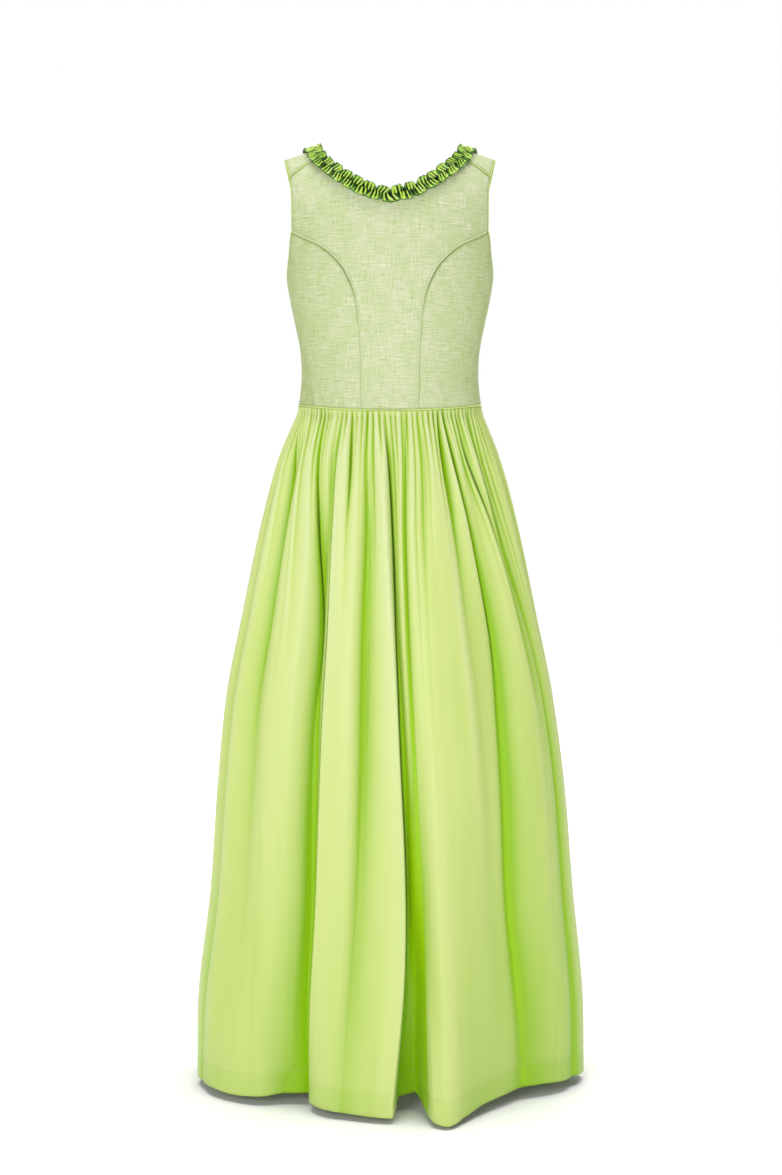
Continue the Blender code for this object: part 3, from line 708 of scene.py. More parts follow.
def ribbon_satin(name, rim, bright):
    """Shiny ribbon: bright inside the puffs with painted highlights, deep green on their rims,
    their darker tone deepened by painted shade, and painted shadow in the gaps.
    """
    n = Nodes(name)
    cloth = n.uv()
    grain = n.noise(cloth, 1.0, 2.0, 0.6, stretch=(900.0, 160.0, 1.0))
    mottle = n.noise(cloth, 1.0, 2.0, 0.6, 0.3, stretch=(240.0, 240.0, 1.0))
    # painted shadow in the gaps between the puffs
    gaps = ((0.06, tint(rim, 0.08)), (0.20, tint(rim, 0.6)))
    # the rims' darker shot tone, deepened by painted shade
    rims = ((0.34, rim), (0.48, tint(rim, 2.2)))
    # painted highlight on the brightest folds
    shine = tuple(0.50 * channel + 0.46 for channel in bright)
    puffs = ((0.66, bright), (0.84, bright), (0.97, shine))
    place = n.math("ADD", n.value("shade"), n.centred(mottle, 0.30))
    base = n.ramp(place, gaps + rims + puffs)
    rough = n.range(grain, 0.3, 0.7, 0.36, 0.26)
    return n.finish(base, rough, n.bump(grain, 0.35, 0.00035), Specular_IOR_Level=0.30)


def covered_cord(name, color):
    """Bright cord covered in bias satin, with fine slanting threads."""
    n = Nodes(name)
    thread = n.wave(n.place(), 700.0, "DIAGONAL", 1.0)
    dirt = n.noise(n.place(), 180.0, 3.0, 0.6)
    base = n.ramp(dirt, ((0.3, tint(color, 0.82)), (0.55, color), (0.75, tint(color, 1.12))))
    rough = n.range(dirt, 0.3, 0.7, 0.5, 0.4)
    normal = n.bump(thread, 0.3, 0.0001)
    return n.finish(base, rough, normal, Specular_IOR_Level=0.5, Sheen_Weight=0.2)


def sewing_thread(name, color):
    n = Nodes(name)
    twist = n.wave(n.place(), 900.0, "DIAGONAL", 0.5)
    tone = n.noise(n.place(), 300.0, 2.0)
    base = n.ramp(tone, ((0.3, tint(color, 0.85)), (0.7, tint(color, 1.1))))
    return n.finish(base, n.range(tone, 0.3, 0.7, 0.7, 0.55), n.bump(twist, 0.4, 0.0001))


def floor_paint(name, color):
    n = Nodes(name)
    fine = n.noise(n.place(), 60.0)
    base = n.ramp(fine, ((0.3, tint(color, 0.985)), (0.7, color)))
    rough = n.range(fine, 0.3, 0.7, 0.9, 0.8)
    return n.finish(base, rough, n.bump(fine, 0.02, 0.0005), Specular_IOR_Level=0.1)


# ------------------------------------------------------------------ properties
def length_field(name, description, default, low, high):
    return bpy.props.FloatProperty(
        name=name, description=description, default=default, min=low, max=high, unit="LENGTH"
    )


def colour_field(name, description, default):
    return bpy.props.FloatVectorProperty(
        name=name, description=description, default=default, min=0.0, max=1.0, subtype="COLOR"
    )


class DirndlSizes(bpy.types.PropertyGroup):
    gather_depth: length_field(
        "Gather depth", "Depth of the small gathers just under the waist", 0.0050, 0.0, 0.008
    )
    streak_depth: length_field(
        "Streak depth", "Depth of the faint upright waves in the satin", 0.0005, 0.0, 0.004
    )
    crease_sharpness: bpy.props.FloatProperty(
        name="Fold sharpness",
        description="0 leaves the large folds round, 1 makes their valleys sharp",
        default=0.35,
        min=0.0,
        max=1.0,
        subtype="FACTOR",
    )
    hem_width: length_field(
        "Hem width", "Height of the hem's stitch line over its edge", 0.034, 0.01, 0.08
    )
    puff_height: length_field(
        "Puff height", "How far a puff of the ribbon stands off the cloth", 0.0058, 0.002, 0.010
    )


class DirndlColours(bpy.types.PropertyGroup):
    linen: colour_field(
        "Bodice linen", "Colour of the bodice's linen", (0.64, 0.685, 0.435)
    )
    cord: colour_field(
        "Piping", "Colour of the bright cords in the seams", (0.60, 0.76, 0.22)
    )
    satin: colour_field(
        "Skirt satin", "Colour of the skirt where it lies open", (0.62, 0.735, 0.235)
    )
    # colour of the painted shade deep in the skirt's folds
    satin_painted_shade: colour_field(
        "Skirt satin in folds", "Colour of the skirt deep in its folds", (0.31, 0.55, 0.02)
    )
    # the darker tone of the shot ribbon on the puffs' rims, deepened by painted shade
    ribbon_rim: colour_field(
        "Ribbon rims", "Colour of the rims of the ribbon's puffs", (0.055, 0.16, 0.015)
    )
    ribbon_bright: colour_field(
        "Ribbon puffs", "Colour inside the ribbon's puffs", (0.56, 0.75, 0.10)
    )
    floor: colour_field("Floor", "Colour of the studio floor", (0.95, 0.95, 0.94))


# ------------------------------------------------------------------ bodice
# The cut of each panel: width, length and area
PANEL_CUTS = {
    "back_centre": (0.300, 0.372, 0.0584),
    "back_side_left": (0.143, 0.245, 0.0279),
    "back_side_right": (0.171, 0.235, 0.0351),
    "front_left": (0.245, 0.445, 0.0571),
    "front_right": (0.215, 0.445, 0.0507),
}
# A sewn edge: depth of its groove, darkness of the painted shade along it and height of its
# puckers
PRINCESS_SEAM = (0.0010, 1.00, 0.00020)
PLAIN_SEAM = (0.0005, 0.35, 0.00008)
SHOULDER_SEAM = (0.0003, 0.08, 0.00004)
MEAN_DEPTH = 0.68  # depth of the bodice for each metre of its width
GROOVE_REACH = 0.0022
PUCKER_REACH = 0.0060
# width of the painted shade along a seam
LINE_REACH = 0.0026
PUCKER_SEEDS = ((420.0, 0.4), (611.0, 1.3), (233.0, 2.2))  # waves to a metre, and phase
# Soft creases of the back and side backs: height and across of the start and of the end,
# half width and depth, minus for a trough
BODICE_CREASES = (
    # start_z, start_x, end_z, end_x, half_width, depth
    (-0.366, -0.03, -0.345, 0.012, 0.004, -0.0007),
    (-0.352, 0.02, -0.36, 0.038, 0.0035, -0.0006),
    (-0.345, -0.11, -0.318, -0.06, 0.0055, -0.0012),
    (-0.33, 0.06, -0.345, 0.112, 0.0055, -0.0012),
    (-0.315, -0.118, -0.29, -0.07, 0.006, -0.001),
    (-0.296, 0.062, -0.31, 0.116, 0.006, -0.001),
    (-0.24, -0.052, -0.215, -0.09, 0.007, -0.0008),
    (-0.22, 0.055, -0.2, 0.092, 0.007, -0.0008),
    (-0.15, -0.11, -0.105, -0.128, 0.0065, -0.001),
    (-0.145, 0.112, -0.105, 0.13, 0.0065, -0.001),
)


def crease_depth(x, z):
    """How far the soft creases of the bodice move a place along its face's normal."""
    total = 0.0
    for start_z, start_x, end_z, end_x, half_width, depth in BODICE_CREASES:
        way_x, way_z = end_x - start_x, end_z - start_z
        length = math.hypot(way_x, way_z)
        from_x, from_z = x - start_x, z - start_z
        along = (from_x * way_x + from_z * way_z) / length ** 2
        off = (from_x * way_z - from_z * way_x) / length
        if abs(off) < 4 * half_width and -0.3 < along < 1.3:
            fade = math.exp(-((2 * along - 1) / 0.85) ** 4)
            total += depth * fade * bell(off, half_width)
    return total


def girth_share(angle):
    """Distance round the bodice from the centre to an angle, over its half width."""
    steps = np.radians(np.linspace(0.0, abs(angle), 25))
    power = 2 / SECTION_POWER
    x = np.abs(np.sin(steps)) ** power
    y = MEAN_DEPTH * np.sign(np.cos(steps)) * np.abs(np.cos(steps)) ** power
    return math.copysign(np.hypot(np.diff(x), np.diff(y)).sum(), angle)


def straight_grain(grid):
    """Cloth coordinates of a bodice panel: level round the body, and up over the shoulder."""
    cloth = np.empty((len(grid), len(grid[0]), 2))
    for row, line in enumerate(grid):
        for column, (angle, path) in enumerate(line):
            height = min(path, front_path(path), table_height(path))
            cloth[row, column] = girth_share(angle) * ease(BODY, height, 1), path
    return cloth


def side_shade_amount(angle, path):
    """How far a place on the bodice is turned to the side, less so on the shoulders: the amount of
    painted shade its linen gets.
    """
    over = clamp((min(path, front_path(path)) - FLANK) / 0.06)
    return abs(angle) / 90 * (1.0 - 0.7 * over)


def seam_strength(height):
    """How clearly the back seams show: 0 below the shoulder blades and 1 over them."""
    return np.clip((height + 0.235) / 0.05, 0.0, 1.0)


def panel(name, grid, material, seams):
    """One cut piece of the bodice. seams names the sewn edges: low, high, left, right."""
    outer = np.array([[body_point(*cell) for cell in line] for line in grid])
    normals = np.array([[body_normal(*cell) for cell in line] for line in grid])
    creases = np.array([[crease_depth(x, z) for x, y, z in line] for line in outer])
    outer = outer + normals * creases[:, :, None]
    cloth = arc_lengths(outer)
    dip = np.zeros(outer.shape[:2])
    dark = np.zeros(outer.shape[:2])
    edges = {
        "left": cloth[:, :, 0] - cloth[:, [0], 0],
        "right": cloth[:, [-1], 0] - cloth[:, :, 0],
        "low": cloth[:, :, 1] - cloth[[0], :, 1],
        "high": cloth[[-1], :, 1] - cloth[:, :, 1],
    }
    for edge, (depth, shade, pucker) in seams.items():
        off = edges[edge]
        run = cloth[:, :, 1] if edge in ("left", "right") else cloth[:, :, 0]
        wave = 0.75 + 0.25 * wave_sum(run, PUCKER_SEEDS)
        dip += depth * bell(off, GROOVE_REACH)
        dip += pucker * wave * bell(off, PUCKER_REACH) * np.sin(run * 700.0 + 1.5 * wave)
        # painted shade along the seam's groove
        dark = np.maximum(dark, shade * bell(off, LINE_REACH))
    strong = 0.18 + 0.82 * seam_strength(outer[:, :, 2])
    outer = outer - normals * (dip * (0.5 + 0.5 * strong))[:, :, None]
    inner = outer - normals * BODICE_WALL
    # painted shade for the sides of the bodice, growing as a place turns away from the front
    turned = np.array([[side_shade_amount(*cell) for cell in line] for line in grid])
    values = {"seam": dark * strong, "side": np.clip(1.35 * turned ** 1.5, 0.0, 1.0)}
    return cloth_object(name, outer, inner, straight_grain(grid), material, values)


def on_waist(cells):
    """Cells of a back's lower edge, moved down to the waist seam."""
    return [(angle, waist_height(angle)) for angle, path in cells]


def back_centre_grid():
    right = princess_line(44)[:-1] + back_armhole_line(16)
    left = [(-angle, path) for angle, path in right]
    neck = spaced([cell_at(*row) for row in NECK_BACK], 20)
    half_top = neck + straight(neck[-1], right[-1], 14)[1:]
    top = [(-angle, path) for angle, path in half_top[:0:-1]] + half_top
    bottom = on_waist(straight(left[0], right[0], len(top) - 1))
    left[0], right[0] = bottom[0], bottom[-1]
    return filled(bottom, top, left, right, 3.0)


def back_side_grid(side):
    inner = princess_line(48, side)
    inner[0] = on_waist(inner[:1])[0]
    heights = np.linspace(waist_height(90), SIDE_SEAM[-1][0], 49).tolist()
    outer = [(side * seam_angle(height, side), height) for height in heights]
    bottom = on_waist(straight(inner[0], outer[0], 40))
    outer[0] = bottom[-1]
    return filled(bottom, underarm_line(side, 40), inner, outer)


def front_grid(side):
    heights = np.linspace(waist_height(90), SIDE_SEAM[-1][0], 41)[:-1].tolist()
    seam = [(side * (180 - seam_angle(height, side)), front_path(height)) for height in heights]
    outer = seam + front_armhole_line(side, 40)
    neck = spaced(table_cells(NECK_FRONT, 2)[::-1], 40, side)
    inner = straight((0.0, front_path(WAIST_SIDE)), neck[0], 40)[:-1] + neck
    angles = np.linspace(0.0, outer[0][0], 41).tolist()
    bottom = [(angle, front_path(waist_height(180 - abs(angle)))) for angle in angles]
    outer[0] = bottom[-1]
    return filled(bottom, straight(inner[-1], outer[-1], 40), inner, outer)


def build_bodice(colours):
    linen = slub_linen("slub_linen", tuple(colours.linen))
    plain = dict.fromkeys(("left", "right", "low", "high"), PLAIN_SEAM)
    plans = {"back_centre": (back_centre_grid(), {**plain, "high": SHOULDER_SEAM})}
    for word, side in SIDES:
        plans["back_side_" + word] = (back_side_grid(side), {**plain, "left": PRINCESS_SEAM})
        plans["front_" + word] = (front_grid(side), plain)
    return {
        node: panel("linen_" + node, grid, linen, seams) for node, (grid, seams) in plans.items()
    }


# ------------------------------------------------------------------ pipings
STRIP_LOW = 0.0004  # height of the strip at the waist
STRIP_HIGH = 0.0015  # and over the shoulder blades
STRIP_DEEP = 0.0006  # how far it reaches into the seam
# Section of the strip: place across, -1 to 1, and height, 0 to 1
STRIP_PROFILE = ((-1.0, 0.05), (-0.72, 0.62), (-0.3, 0.95), (0.15, 1.0), (0.6, 0.8), (1.0, 0.15))


def tube(name, points, radius, cyclic, material):
    """A round cord along a path, made a mesh with closed ends."""
    curve = bpy.data.curves.new(name, "CURVE")
    curve.dimensions = "3D"
    curve.bevel_depth = radius
    curve.bevel_resolution = 3
    curve.use_fill_caps = True
    spline = curve.splines.new("POLY")
    spline.points.add(len(points) - 1)
    for knot, point in zip(spline.points, points):
        knot.co = (*point, 1.0)
    spline.use_cyclic_u = cyclic
    add_object(name, curve, material)
    bpy.ops.object.convert(target="MESH")
    face_outwards(join_within=0.00002)
    bpy.ops.object.shade_smooth()
    return bpy.context.view_layer.objects.active


def edge_run(cells, toward):
    """Points of a run of edge cells with their normals and a point inside the panel."""
    run = []
    for cell in cells:
        inside = (cell[0] + toward[0], cell[1] + toward[1])
        run.append((body_point(*cell), body_normal(*cell), body_point(*inside)))
    return run


def armhole_edge(side):
    """The armhole edge in one round: down the yoke, under the arm and up the front."""
    yoke = back_armhole_line(16, side)[::-1]
    side_back = underarm_line(side, 24)[1:]
    front = front_armhole_line(side, 50)[1:-1]
    return (
        edge_run(yoke, (-side * 3, 0))
        + edge_run(side_back, (0, -0.004))
        + edge_run(front, (-side * 3, 0.004))
    )


def armhole_cord(name, side, material):
    """The cord in the armhole's edge, standing out of it by its own thickness."""
    points = []
    edge = armhole_edge(side)
    count = len(edge)
    for index, (point, normal, inside) in enumerate(edge):
        along = (edge[(index + 1) % count][0] - edge[index - 1][0]).normalized()
        out = along.cross(normal).normalized()
        if out.dot(point - inside) < 0:
            out = -out
        points.append(point - normal * (BODICE_WALL / 2) + out * CORD_RADIUS * 0.9)
    return tube(name, points, CORD_RADIUS, True, material)


def shoulder_cord(name, side, material):
    """The cord of the shoulder seam, from beside the ribbon to the armhole."""
    cells = straight(cell_at(*NECK_BACK[-1]), cell_at(*BACK_ARMHOLE[-1]), 32)[10:]
    points = [lifted((side * angle, path), CORD_RADIUS * 0.6) for angle, path in cells]
    return tube(name, points, CORD_RADIUS, False, material)


def waist_cord(name, material):
    points = []
    for angle in np.linspace(-180, 180, 240, endpoint=False).tolist():
        height = waist_height(angle) - GAP - PIPING_RADIUS
        if abs(angle) <= 90:
            base = body_point(angle, height)
        else:
            base = body_point(math.copysign(180 - abs(angle), angle), front_path(height))
        out = Vector((base.x, base.y, 0)).normalized()
        points.append(base - out * (BODICE_WALL * 0.2))
    return tube(name, points, PIPING_RADIUS, True, material)


def princess_strip(name, side, material):
    """The raised self-fabric strip along a back seam, flatter and softer lower down."""
    cells = princess_line(96, side)[:-1]
    cells[0] = (cells[0][0], waist_height(cells[0][0]) + 0.0006)
    outer, inner, cloth, shades = [], [], [], []
    run = 0.0
    for index, cell in enumerate(cells):
        before = body_point(*cells[max(index - 1, 0)])
        here = body_point(*cell)
        after = body_point(*cells[min(index + 1, len(cells) - 1)])
        normal = body_normal(*cell)
        across = (after - before).normalized().cross(normal)
        if across.x * side > 0:
            across = -across
        run += (here - before).length
        strong = float(seam_strength(here.z))
        height = STRIP_LOW + (STRIP_HIGH - STRIP_LOW) * strong
        height += (0.00020 - 0.00012 * strong) * math.sin(run * 900.0)
        # strength of the painted shade along the strip's edge, strong over the shoulder blades
        shades.append(0.06 + 0.94 * strong)
        middle = here + across * (PRINCESS_WIDTH * 0.30)
        half = across * (PRINCESS_WIDTH / 2)
        rows = [(middle + half * place, rise, place) for place, rise in STRIP_PROFILE]
        outer.append([point + normal * (height * rise) for point, rise, place in rows])
        inner.append([point - normal * STRIP_DEEP for point, rise, place in rows])
        cloth.append([(place * PRINCESS_WIDTH / 2, run) for point, rise, place in rows])
    outer, inner, cloth = np.array(outer), np.array(inner), np.array(cloth)
    seam = np.zeros(outer.shape[:2])
    # painted shade along the strip's edge where it meets the panel
    seam[:, 0] = shades
    seam[:, 1] = np.array(shades) * 0.5
    # the strip gets a little painted side shade all along
    values = {"seam": seam, "side": np.full(seam.shape, 0.2)}
    return cloth_object(name, outer, inner, cloth, material, values)


# ------------------------------------------------------------------ neck ribbon
BAND_BACK = 160  # places along each half of the back neck edge
BAND_FRONT = 260  # and of the front one
RUCHE_STEPS = 28  # columns of the ribbon in each gathered unit
RUCHE_ROWS = 37  # rows across the ribbon
RUCHE_UNDER = 0.0006  # the ribbon's underside over the cloth


def neck_ring():
    """Cells round the neck edge: over the back from left to right, then over the front."""
    back = [cell_at(*row) for row in NECK_BACK]
    front = table_cells(NECK_FRONT, 2)
    ring = spaced(back, BAND_BACK, -1)[:0:-1] + spaced(back, BAND_BACK)
    ring += spaced(front, BAND_FRONT)[1:]
    return ring + spaced(front, BAND_FRONT, -1)[-2:0:-1]


class NeckBand:
    """The ribbon's own run round the neck: place, outward and downward directions."""

    def __init__(self):
        ring = neck_ring()
        places = [body_point(*cell) for cell in ring]
        rows = []
        run = 0.0
        for index, cell in enumerate(ring):
            normal = body_normal(*cell)
            after = places[(index + 1) % len(ring)]
            down = (after - places[index - 1]).normalized().cross(normal).normalized()
            rows.append((run, *places[index], *normal, *down))
            run += (after - places[index]).length
        rows.append((run, *rows[0][1:]))
        self.rows = np.array(rows)
        self.length = run
        self.back_length = rows[2 * BAND_BACK][0]

    def frame_at(self, run):
        """Place, normal and down direction at distances along the run."""
        at = np.mod(run, self.length)
        columns = [np.interp(at, self.rows[:, 0], self.rows[:, k]) for k in range(1, 10)]
        place, normal, down = np.split(np.stack(columns, axis=-1), 3, axis=-1)
        normal = unit(normal)
        return place, normal, unit(down - (down * normal).sum(-1, keepdims=True) * normal)


def puff_form(phase, depth, offset):
    """One row of ruched puffs: height, tone and outline from the place in the unit.

    phase counts units along the neck, depth runs from the ribbon's middle line, 0, to its
    edge, 1. The height is a share of the puff height. The tone is painted light and shade:
    0 for painted shadow in the gaps, about 0.3 on the rims, their darker tone with painted
    shade, and 1 for a painted highlight on the brightest folds.
    """
    number = np.floor(phase + offset + 0.5)
    tilt = 0.55 * (chance(number + 3) - 0.5)
    local = phase + offset - number + tilt * (depth - 0.5)
    flare = (0.47 + 0.10 * chance(number + 17)) * (0.82 + 0.22 * depth ** 0.8)
    place = local / flare  # -1 and 1 are the sides of the puff
    side = np.abs(place)
    puff = 1 / (1 + np.exp((side - 0.98) * 22))  # 1 on the puff and 0 in the gaps beside it
    # Slanted folds, about four to a puff, each with a painted light of its own
    slant = 2.2 * (chance(number + 23) - 0.5)
    facet = (place + 1.0) * 1.8 + 0.9 * chance(number + 41) + slant * depth
    step = np.floor(facet)
    across = facet - step
    lit = chance(number * 7 + step * 3)
    fold = np.where(across < 0.5, 1.0 - 0.5 * across, 0.12 + 0.80 * lit)
    # The jagged outline, and how far out to it a point lies
    jag = 0.20 * np.abs(across - 0.5) + 0.10 * chance(number * 3 + step)
    round_off = 0.85 * np.clip(side - 0.45, 0, 0.8) ** 1.3
    edge = 1.18 - jag - round_off - 0.12 * chance(number + 29)
    reach = depth / edge
    lip = bell(reach - 0.90, 0.10) * puff
    wall = bell(side - 0.92, 0.11) * puff
    # painted shade in the pockets between the folds, which are also sunk
    pocket = np.clip(0.80 - reach, 0, 1) * 2.2 * bell(across - 0.62, 0.22)
    pocket = pocket * (0.4 + 0.9 * chance(number * 5 + step))
    height = 0.10 + puff * (0.52 + 0.12 * reach + 0.34 * (fold - 0.5)) + 0.26 * lip
    height = height - 0.45 * np.clip(pocket, 0, 1) * puff + 0.26 * bell(depth, 0.30)
    rim = np.maximum(lip, wall)
    # painted light and shade: lit folds, painted shade in the pockets and on the rims, painted
    # shadow in the gaps
    tone = (0.40 + 0.60 * fold - 0.9 * pocket) * (1 - rim) + rim * (0.16 + 0.24 * lit)
    tone = tone * (0.62 + 0.38 * chance(number * 11 + step * 5))
    tone = tone * np.clip(puff * 2.1 - 0.4, 0, 1)
    tone = np.where(reach > 1.0, 0.30 * puff, tone)
    return height, np.clip(tone, 0, 1), edge


def build_ruche(sizes, colours):
    """The ribbon, ruched into two rows of open puffs, as a back and a front piece."""
    rim, bright = tuple(colours.ribbon_rim), tuple(colours.ribbon_bright)
    material = ribbon_satin("ruched_ribbon", rim, bright)
    band = NeckBand()
    length = band.length / round(band.length / RUCHE_UNIT)
    half = RUCHE_WIDTH / 2
    middle = half - RUCHE_OVERHANG
    across = np.linspace(-1.0, 1.0, RUCHE_ROWS)
    pieces = {}
    edges = {"back": (0.0, band.back_length), "front": (band.back_length, band.length)}
    for word, (start, end) in edges.items():
        count = int(round((end - start) / length * RUCHE_STEPS))
        run = np.linspace(start + GAP, end - GAP, count + 1)
        place, normal, down = band.frame_at(run)
        phase = (run - band.back_length / 2) / length
        points = np.empty((count + 1, RUCHE_ROWS, 3))
        under = np.empty_like(points)
        shade = np.empty(points.shape[:2])
        for column, v in enumerate(across):
            size, offset = (1.0, 0.0) if v >= 0 else (0.90, 0.5)
            depth = abs(v)
            height, tone, edge = puff_form(phase, depth, offset)
            spread = math.copysign(half, v) * np.minimum(depth * 1.18, edge + 0.01)
            rise = 0.0010 + sizes.puff_height * height * size
            rise = rise * (1 - 0.75 * np.clip((depth - edge) * 6 + 0.2, 0, 1)) + RUCHE_UNDER
            points[:, column] = place + down * (middle + spread)[:, None] + normal * rise[:, None]
            under[:, column] = place + down * (middle + half * v * 0.62) + normal * RUCHE_UNDER
            shade[:, column] = tone
        cloth = np.dstack(np.meshgrid(run, across * half, indexing="ij"))
        values = {"shade": shade}
        piece = cloth_object("ribbon_ruche_" + word, points, under, cloth, material, values)
        pieces["neck_ruche_" + word] = (piece, end - start)
    return pieces


# ------------------------------------------------------------------ skirt
# Creases that run down the cloth, and that its columns follow: at each of these heights
# the angle, the depth in millimetres and the painted shade of its line in percent, and the
# reach to the left and to the right in millimetres, under the waist and at the hem
LINE_HEIGHTS = (-0.370, -0.450, -0.550, -0.700, -0.850, -1.100, -1.376)
HIDDEN = (10, 40, 60, 60, 50, 40, 30)
FAINT = (0, 25, 15, 0, 0, 0, 0)
CREASE_LINES = (
    # angles, depths, darkness, reach_top, reach_hem
    ((-80, -76, -73, -72, -72, -72, -73), (2, 3, 2, 2, 3, 3, 3), FAINT, (5, 4), (9, 12)),
    ((-73, -62, -56.5, -55, -54.5, -54, -53.5), (3, 8, 8, 4, 1, 0, 0),
     (0, 40, 50, 20, 0, 0, 0), (10, 3), (12, 6)),
    ((-45.5, -40.3, -34.2, -27.8, -28.5, -28, -27.8), (3, 8, 10, 8, 6, 8, 8),
     (0, 30, 90, 80, 20, 0, 0), (2, 6), (16, 14)),
    ((-30, -29, -26.4, -23.8, -23.2, -23.7, -25.6), (2, 4, 5, 6, 8, 8, 6),
     (0, 20, 45, 90, 95, 95, 70), (5, 1.5), (9, 1.5)),
    ((-24.5, -20.5, -19, -17.5, -16.5, -16, -16), (2, 6, 2, 0, 0, 0, 0),
     (0, 50, 20, 0, 0, 0, 0), (3, 5), (8, 8)),
    ((-13, -11.8, -10.2, -9.8, -9.2, -10.5, -13.5), (2, 4, 5, 4, 4, 4, 3),
     (0, 15, 40, 10, 0, 0, 0), (5, 4), (11, 16)),
    ((-4.5, -0.8, 1.2, 2.3, 3.3, 5, 2), (3, 4.5, 4.5, 4.5, 4.5, 4, 3),
     (10, 85, 95, 100, 100, 100, 0), (1.6, 2.2), (1.6, 4)),
    ((9.3, 8, 6.8, 7.1, 8, 9.5, 9.8), (3, 4, 4, 4, 2, 0, 0),
     (0, 40, 50, 45, 40, 20, 0), (2.5, 4), (6, 6)),
    ((18.5, 17.8, 15.8, 15.5, 15, 15, 15), (2, 4, 3, 0, 0, 0, 0), FAINT, (6, 4), (8, 8)),
    ((31.5, 29.2, 30.5, 31, 32, 33, 34), (2, 6, 3, 0, 0, 0, 0),
     (0, 60, 20, 0, 0, 0, 0), (8, 5), (8, 8)),
    ((34.8, 35.6, 39.8, 44.5, 43.5, 42.6, 47.5), (3, 8, 11, 12, 12, 10, 4),
     (20, 90, 100, 70, 10, 0, 0), (2, 6), (14, 28)),
    ((44.5, 45.9, 53.5, 63, 63.5, 63, 62), (3, 7, 8, 5, 2, 1, 1),
     (30, 100, 60, 30, 0, 0, 0), (4, 9), (12, 14)),
    ((57, 54.5, 60, 70, 73, 74, 75), (2, 5, 4, 4, 5, 5, 5),
     (20, 70, 30, 0, 0, 0, 0), (4, 7), (12, 8)),
    ((98, 99, 100, 100.5, 101, 101.5, 102), (5, 8, 7, 8, 10, 11, 11), HIDDEN, (4, 9), (10, 4)),
    ((112, 111, 110, 111, 112, 112, 113), (4, 5, 3, 1, 0, 0, 0), HIDDEN, (4, 6), (9, 9)),
    ((126, 124, 122, 121, 121.5, 122, 122), (6, 9, 10, 9, 10, 13, 14), HIDDEN, (9, 3), (12, 4)),
    ((135, 133, 132, 133, 134, 134, 134), (3, 5, 3, 0, 0, 0, 0), HIDDEN, (5, 5), (8, 8)),
    ((140, 142, 143, 144, 145, 146, 148), (6, 9, 11, 9, 11, 14, 15), HIDDEN, (3, 9), (4, 12)),
    ((154, 155, 157, 157, 156, 158, 159), (4, 5, 4, 2, 1, 0, 0), HIDDEN, (5, 4), (9, 9)),
    ((169, 167, 166, 167, 168, 169, 170), (6, 8, 9, 9, 11, 13, 14), HIDDEN, (9, 3), (12, 4)),
    ((180, 178, 177, 178, 180, 181, 181), (3, 6, 4, 1, 0, 0, 0), HIDDEN, (5, 5), (8, 8)),
    ((186, 189, 190, 191, 192, 193, 194), (6, 9, 10, 8, 10, 13, 15), HIDDEN, (3, 9), (4, 11)),
    ((205, 203, 202, 203, 204, 205, 206), (4, 6, 4, 2, 0, 0, 0), HIDDEN, (5, 4), (9, 9)),
    ((218, 216, 215, 215, 216, 217, 217), (6, 9, 9, 8, 11, 13, 13), HIDDEN, (9, 3), (11, 4)),
    ((230, 228, 226, 227, 228, 229, 229), (3, 5, 3, 1, 0, 0, 0), HIDDEN, (4, 6), (8, 8)),
    ((243, 241, 239, 240, 240.5, 241, 241), (5, 8, 10, 8, 9, 11, 12), HIDDEN, (3, 10), (4, 12)),
    ((255, 253, 252, 253, 254, 256, 257), (3, 5, 4, 3, 4, 5, 5), HIDDEN, (6, 4), (9, 9)),
)
# Bands of greener painted shade beside a crease line: its number, the side, -1 left or 1
# right, their width in millimetres under the waist and at the hem, and their strength in
# percent at each height
GREEN_BANDS = (
    # line, side, widths, strengths
    (2, -1, (5, 22), (10, 15, 20, 20, 18, 15, 10)),
    (2, 1, (5, 14), (10, 20, 30, 30, 20, 20, 20)),
    (3, -1, (6, 34), (10, 15, 20, 30, 38, 52, 56)),
    (3, 1, (1.5, 4), (10, 15, 20, 30, 38, 46, 36)),
    (5, -1, (9, 10), (10, 20, 30, 32, 28, 20, 12)),
    (5, 1, (4, 34), (5, 20, 28, 25, 20, 12, 5)),
    (6, 1, (6, 26), (0, 0, 0, 10, 30, 80, 95)),
    (7, -1, (3, 14), (20, 25, 30, 38, 48, 60, 60)),
    (7, 1, (2, 4), (20, 25, 25, 20, 15, 10, 5)),
    (10, -1, (4, 16), (10, 22, 30, 30, 28, 26, 20)),
    (10, 1, (7, 22), (10, 22, 30, 30, 28, 26, 20)),
)
FOLDS_START = -0.385  # height at which the large folds begin
DIP_END = -0.45  # height down to which the skirt's top follows the waist's dip
STREAK_SEEDS = ((0.027, 0.3), (0.051, 1.7), (0.082, 4.1), (0.125, 2.6))
LINE_START = 0.020  # way down from the waist to the crease lines' full depth
LINE_FULL = 0.004  # depth of a crease whose painted shade line is as dark as its table says
# width of the painted shade line along a crease
LINE_WIDTH = 0.0016
GREEN_OTHER = 0.0012  # width of a band of painted shade on the other side of its line
GREEN_FULL = 0.008  # depth of a crease whose sides get the fullest painted shade
GATHER_START = 0.009  # way down to the small gathers' full depth
GATHER_END = 0.50  # way down to where the last of them has run out
GATHER_SHARP = (0.0012, 0.003)  # width of their steep side, and its growth on the way down
GATHER_SOFT = (0.0022, 0.024)  # and of their flat side
GATHER_LENGTH = (0.055, 0.270)  # the shortest, and how much longer the longest is
GATHER_LINE = 0.0009  # width of the painted shade line in each
STREAK_START = 0.20  # way down to the full depth of the upright waves
HEM_GROOVE = (0.0006, 0.0022)  # depth and width
LOOSE = 0.0012  # how far the cloth stands off the body table, to make up for its gathers
WIDE_REACH = 0.045  # surroundings that a wide dip of the cloth is measured against, for its painted shade
NEAR_REACH = 0.011  # and a narrow one
TIGHT_END = 0.14  # way down over which the painted shade of the narrow dips loses its strength
STITCH_PITCH = 0.0042
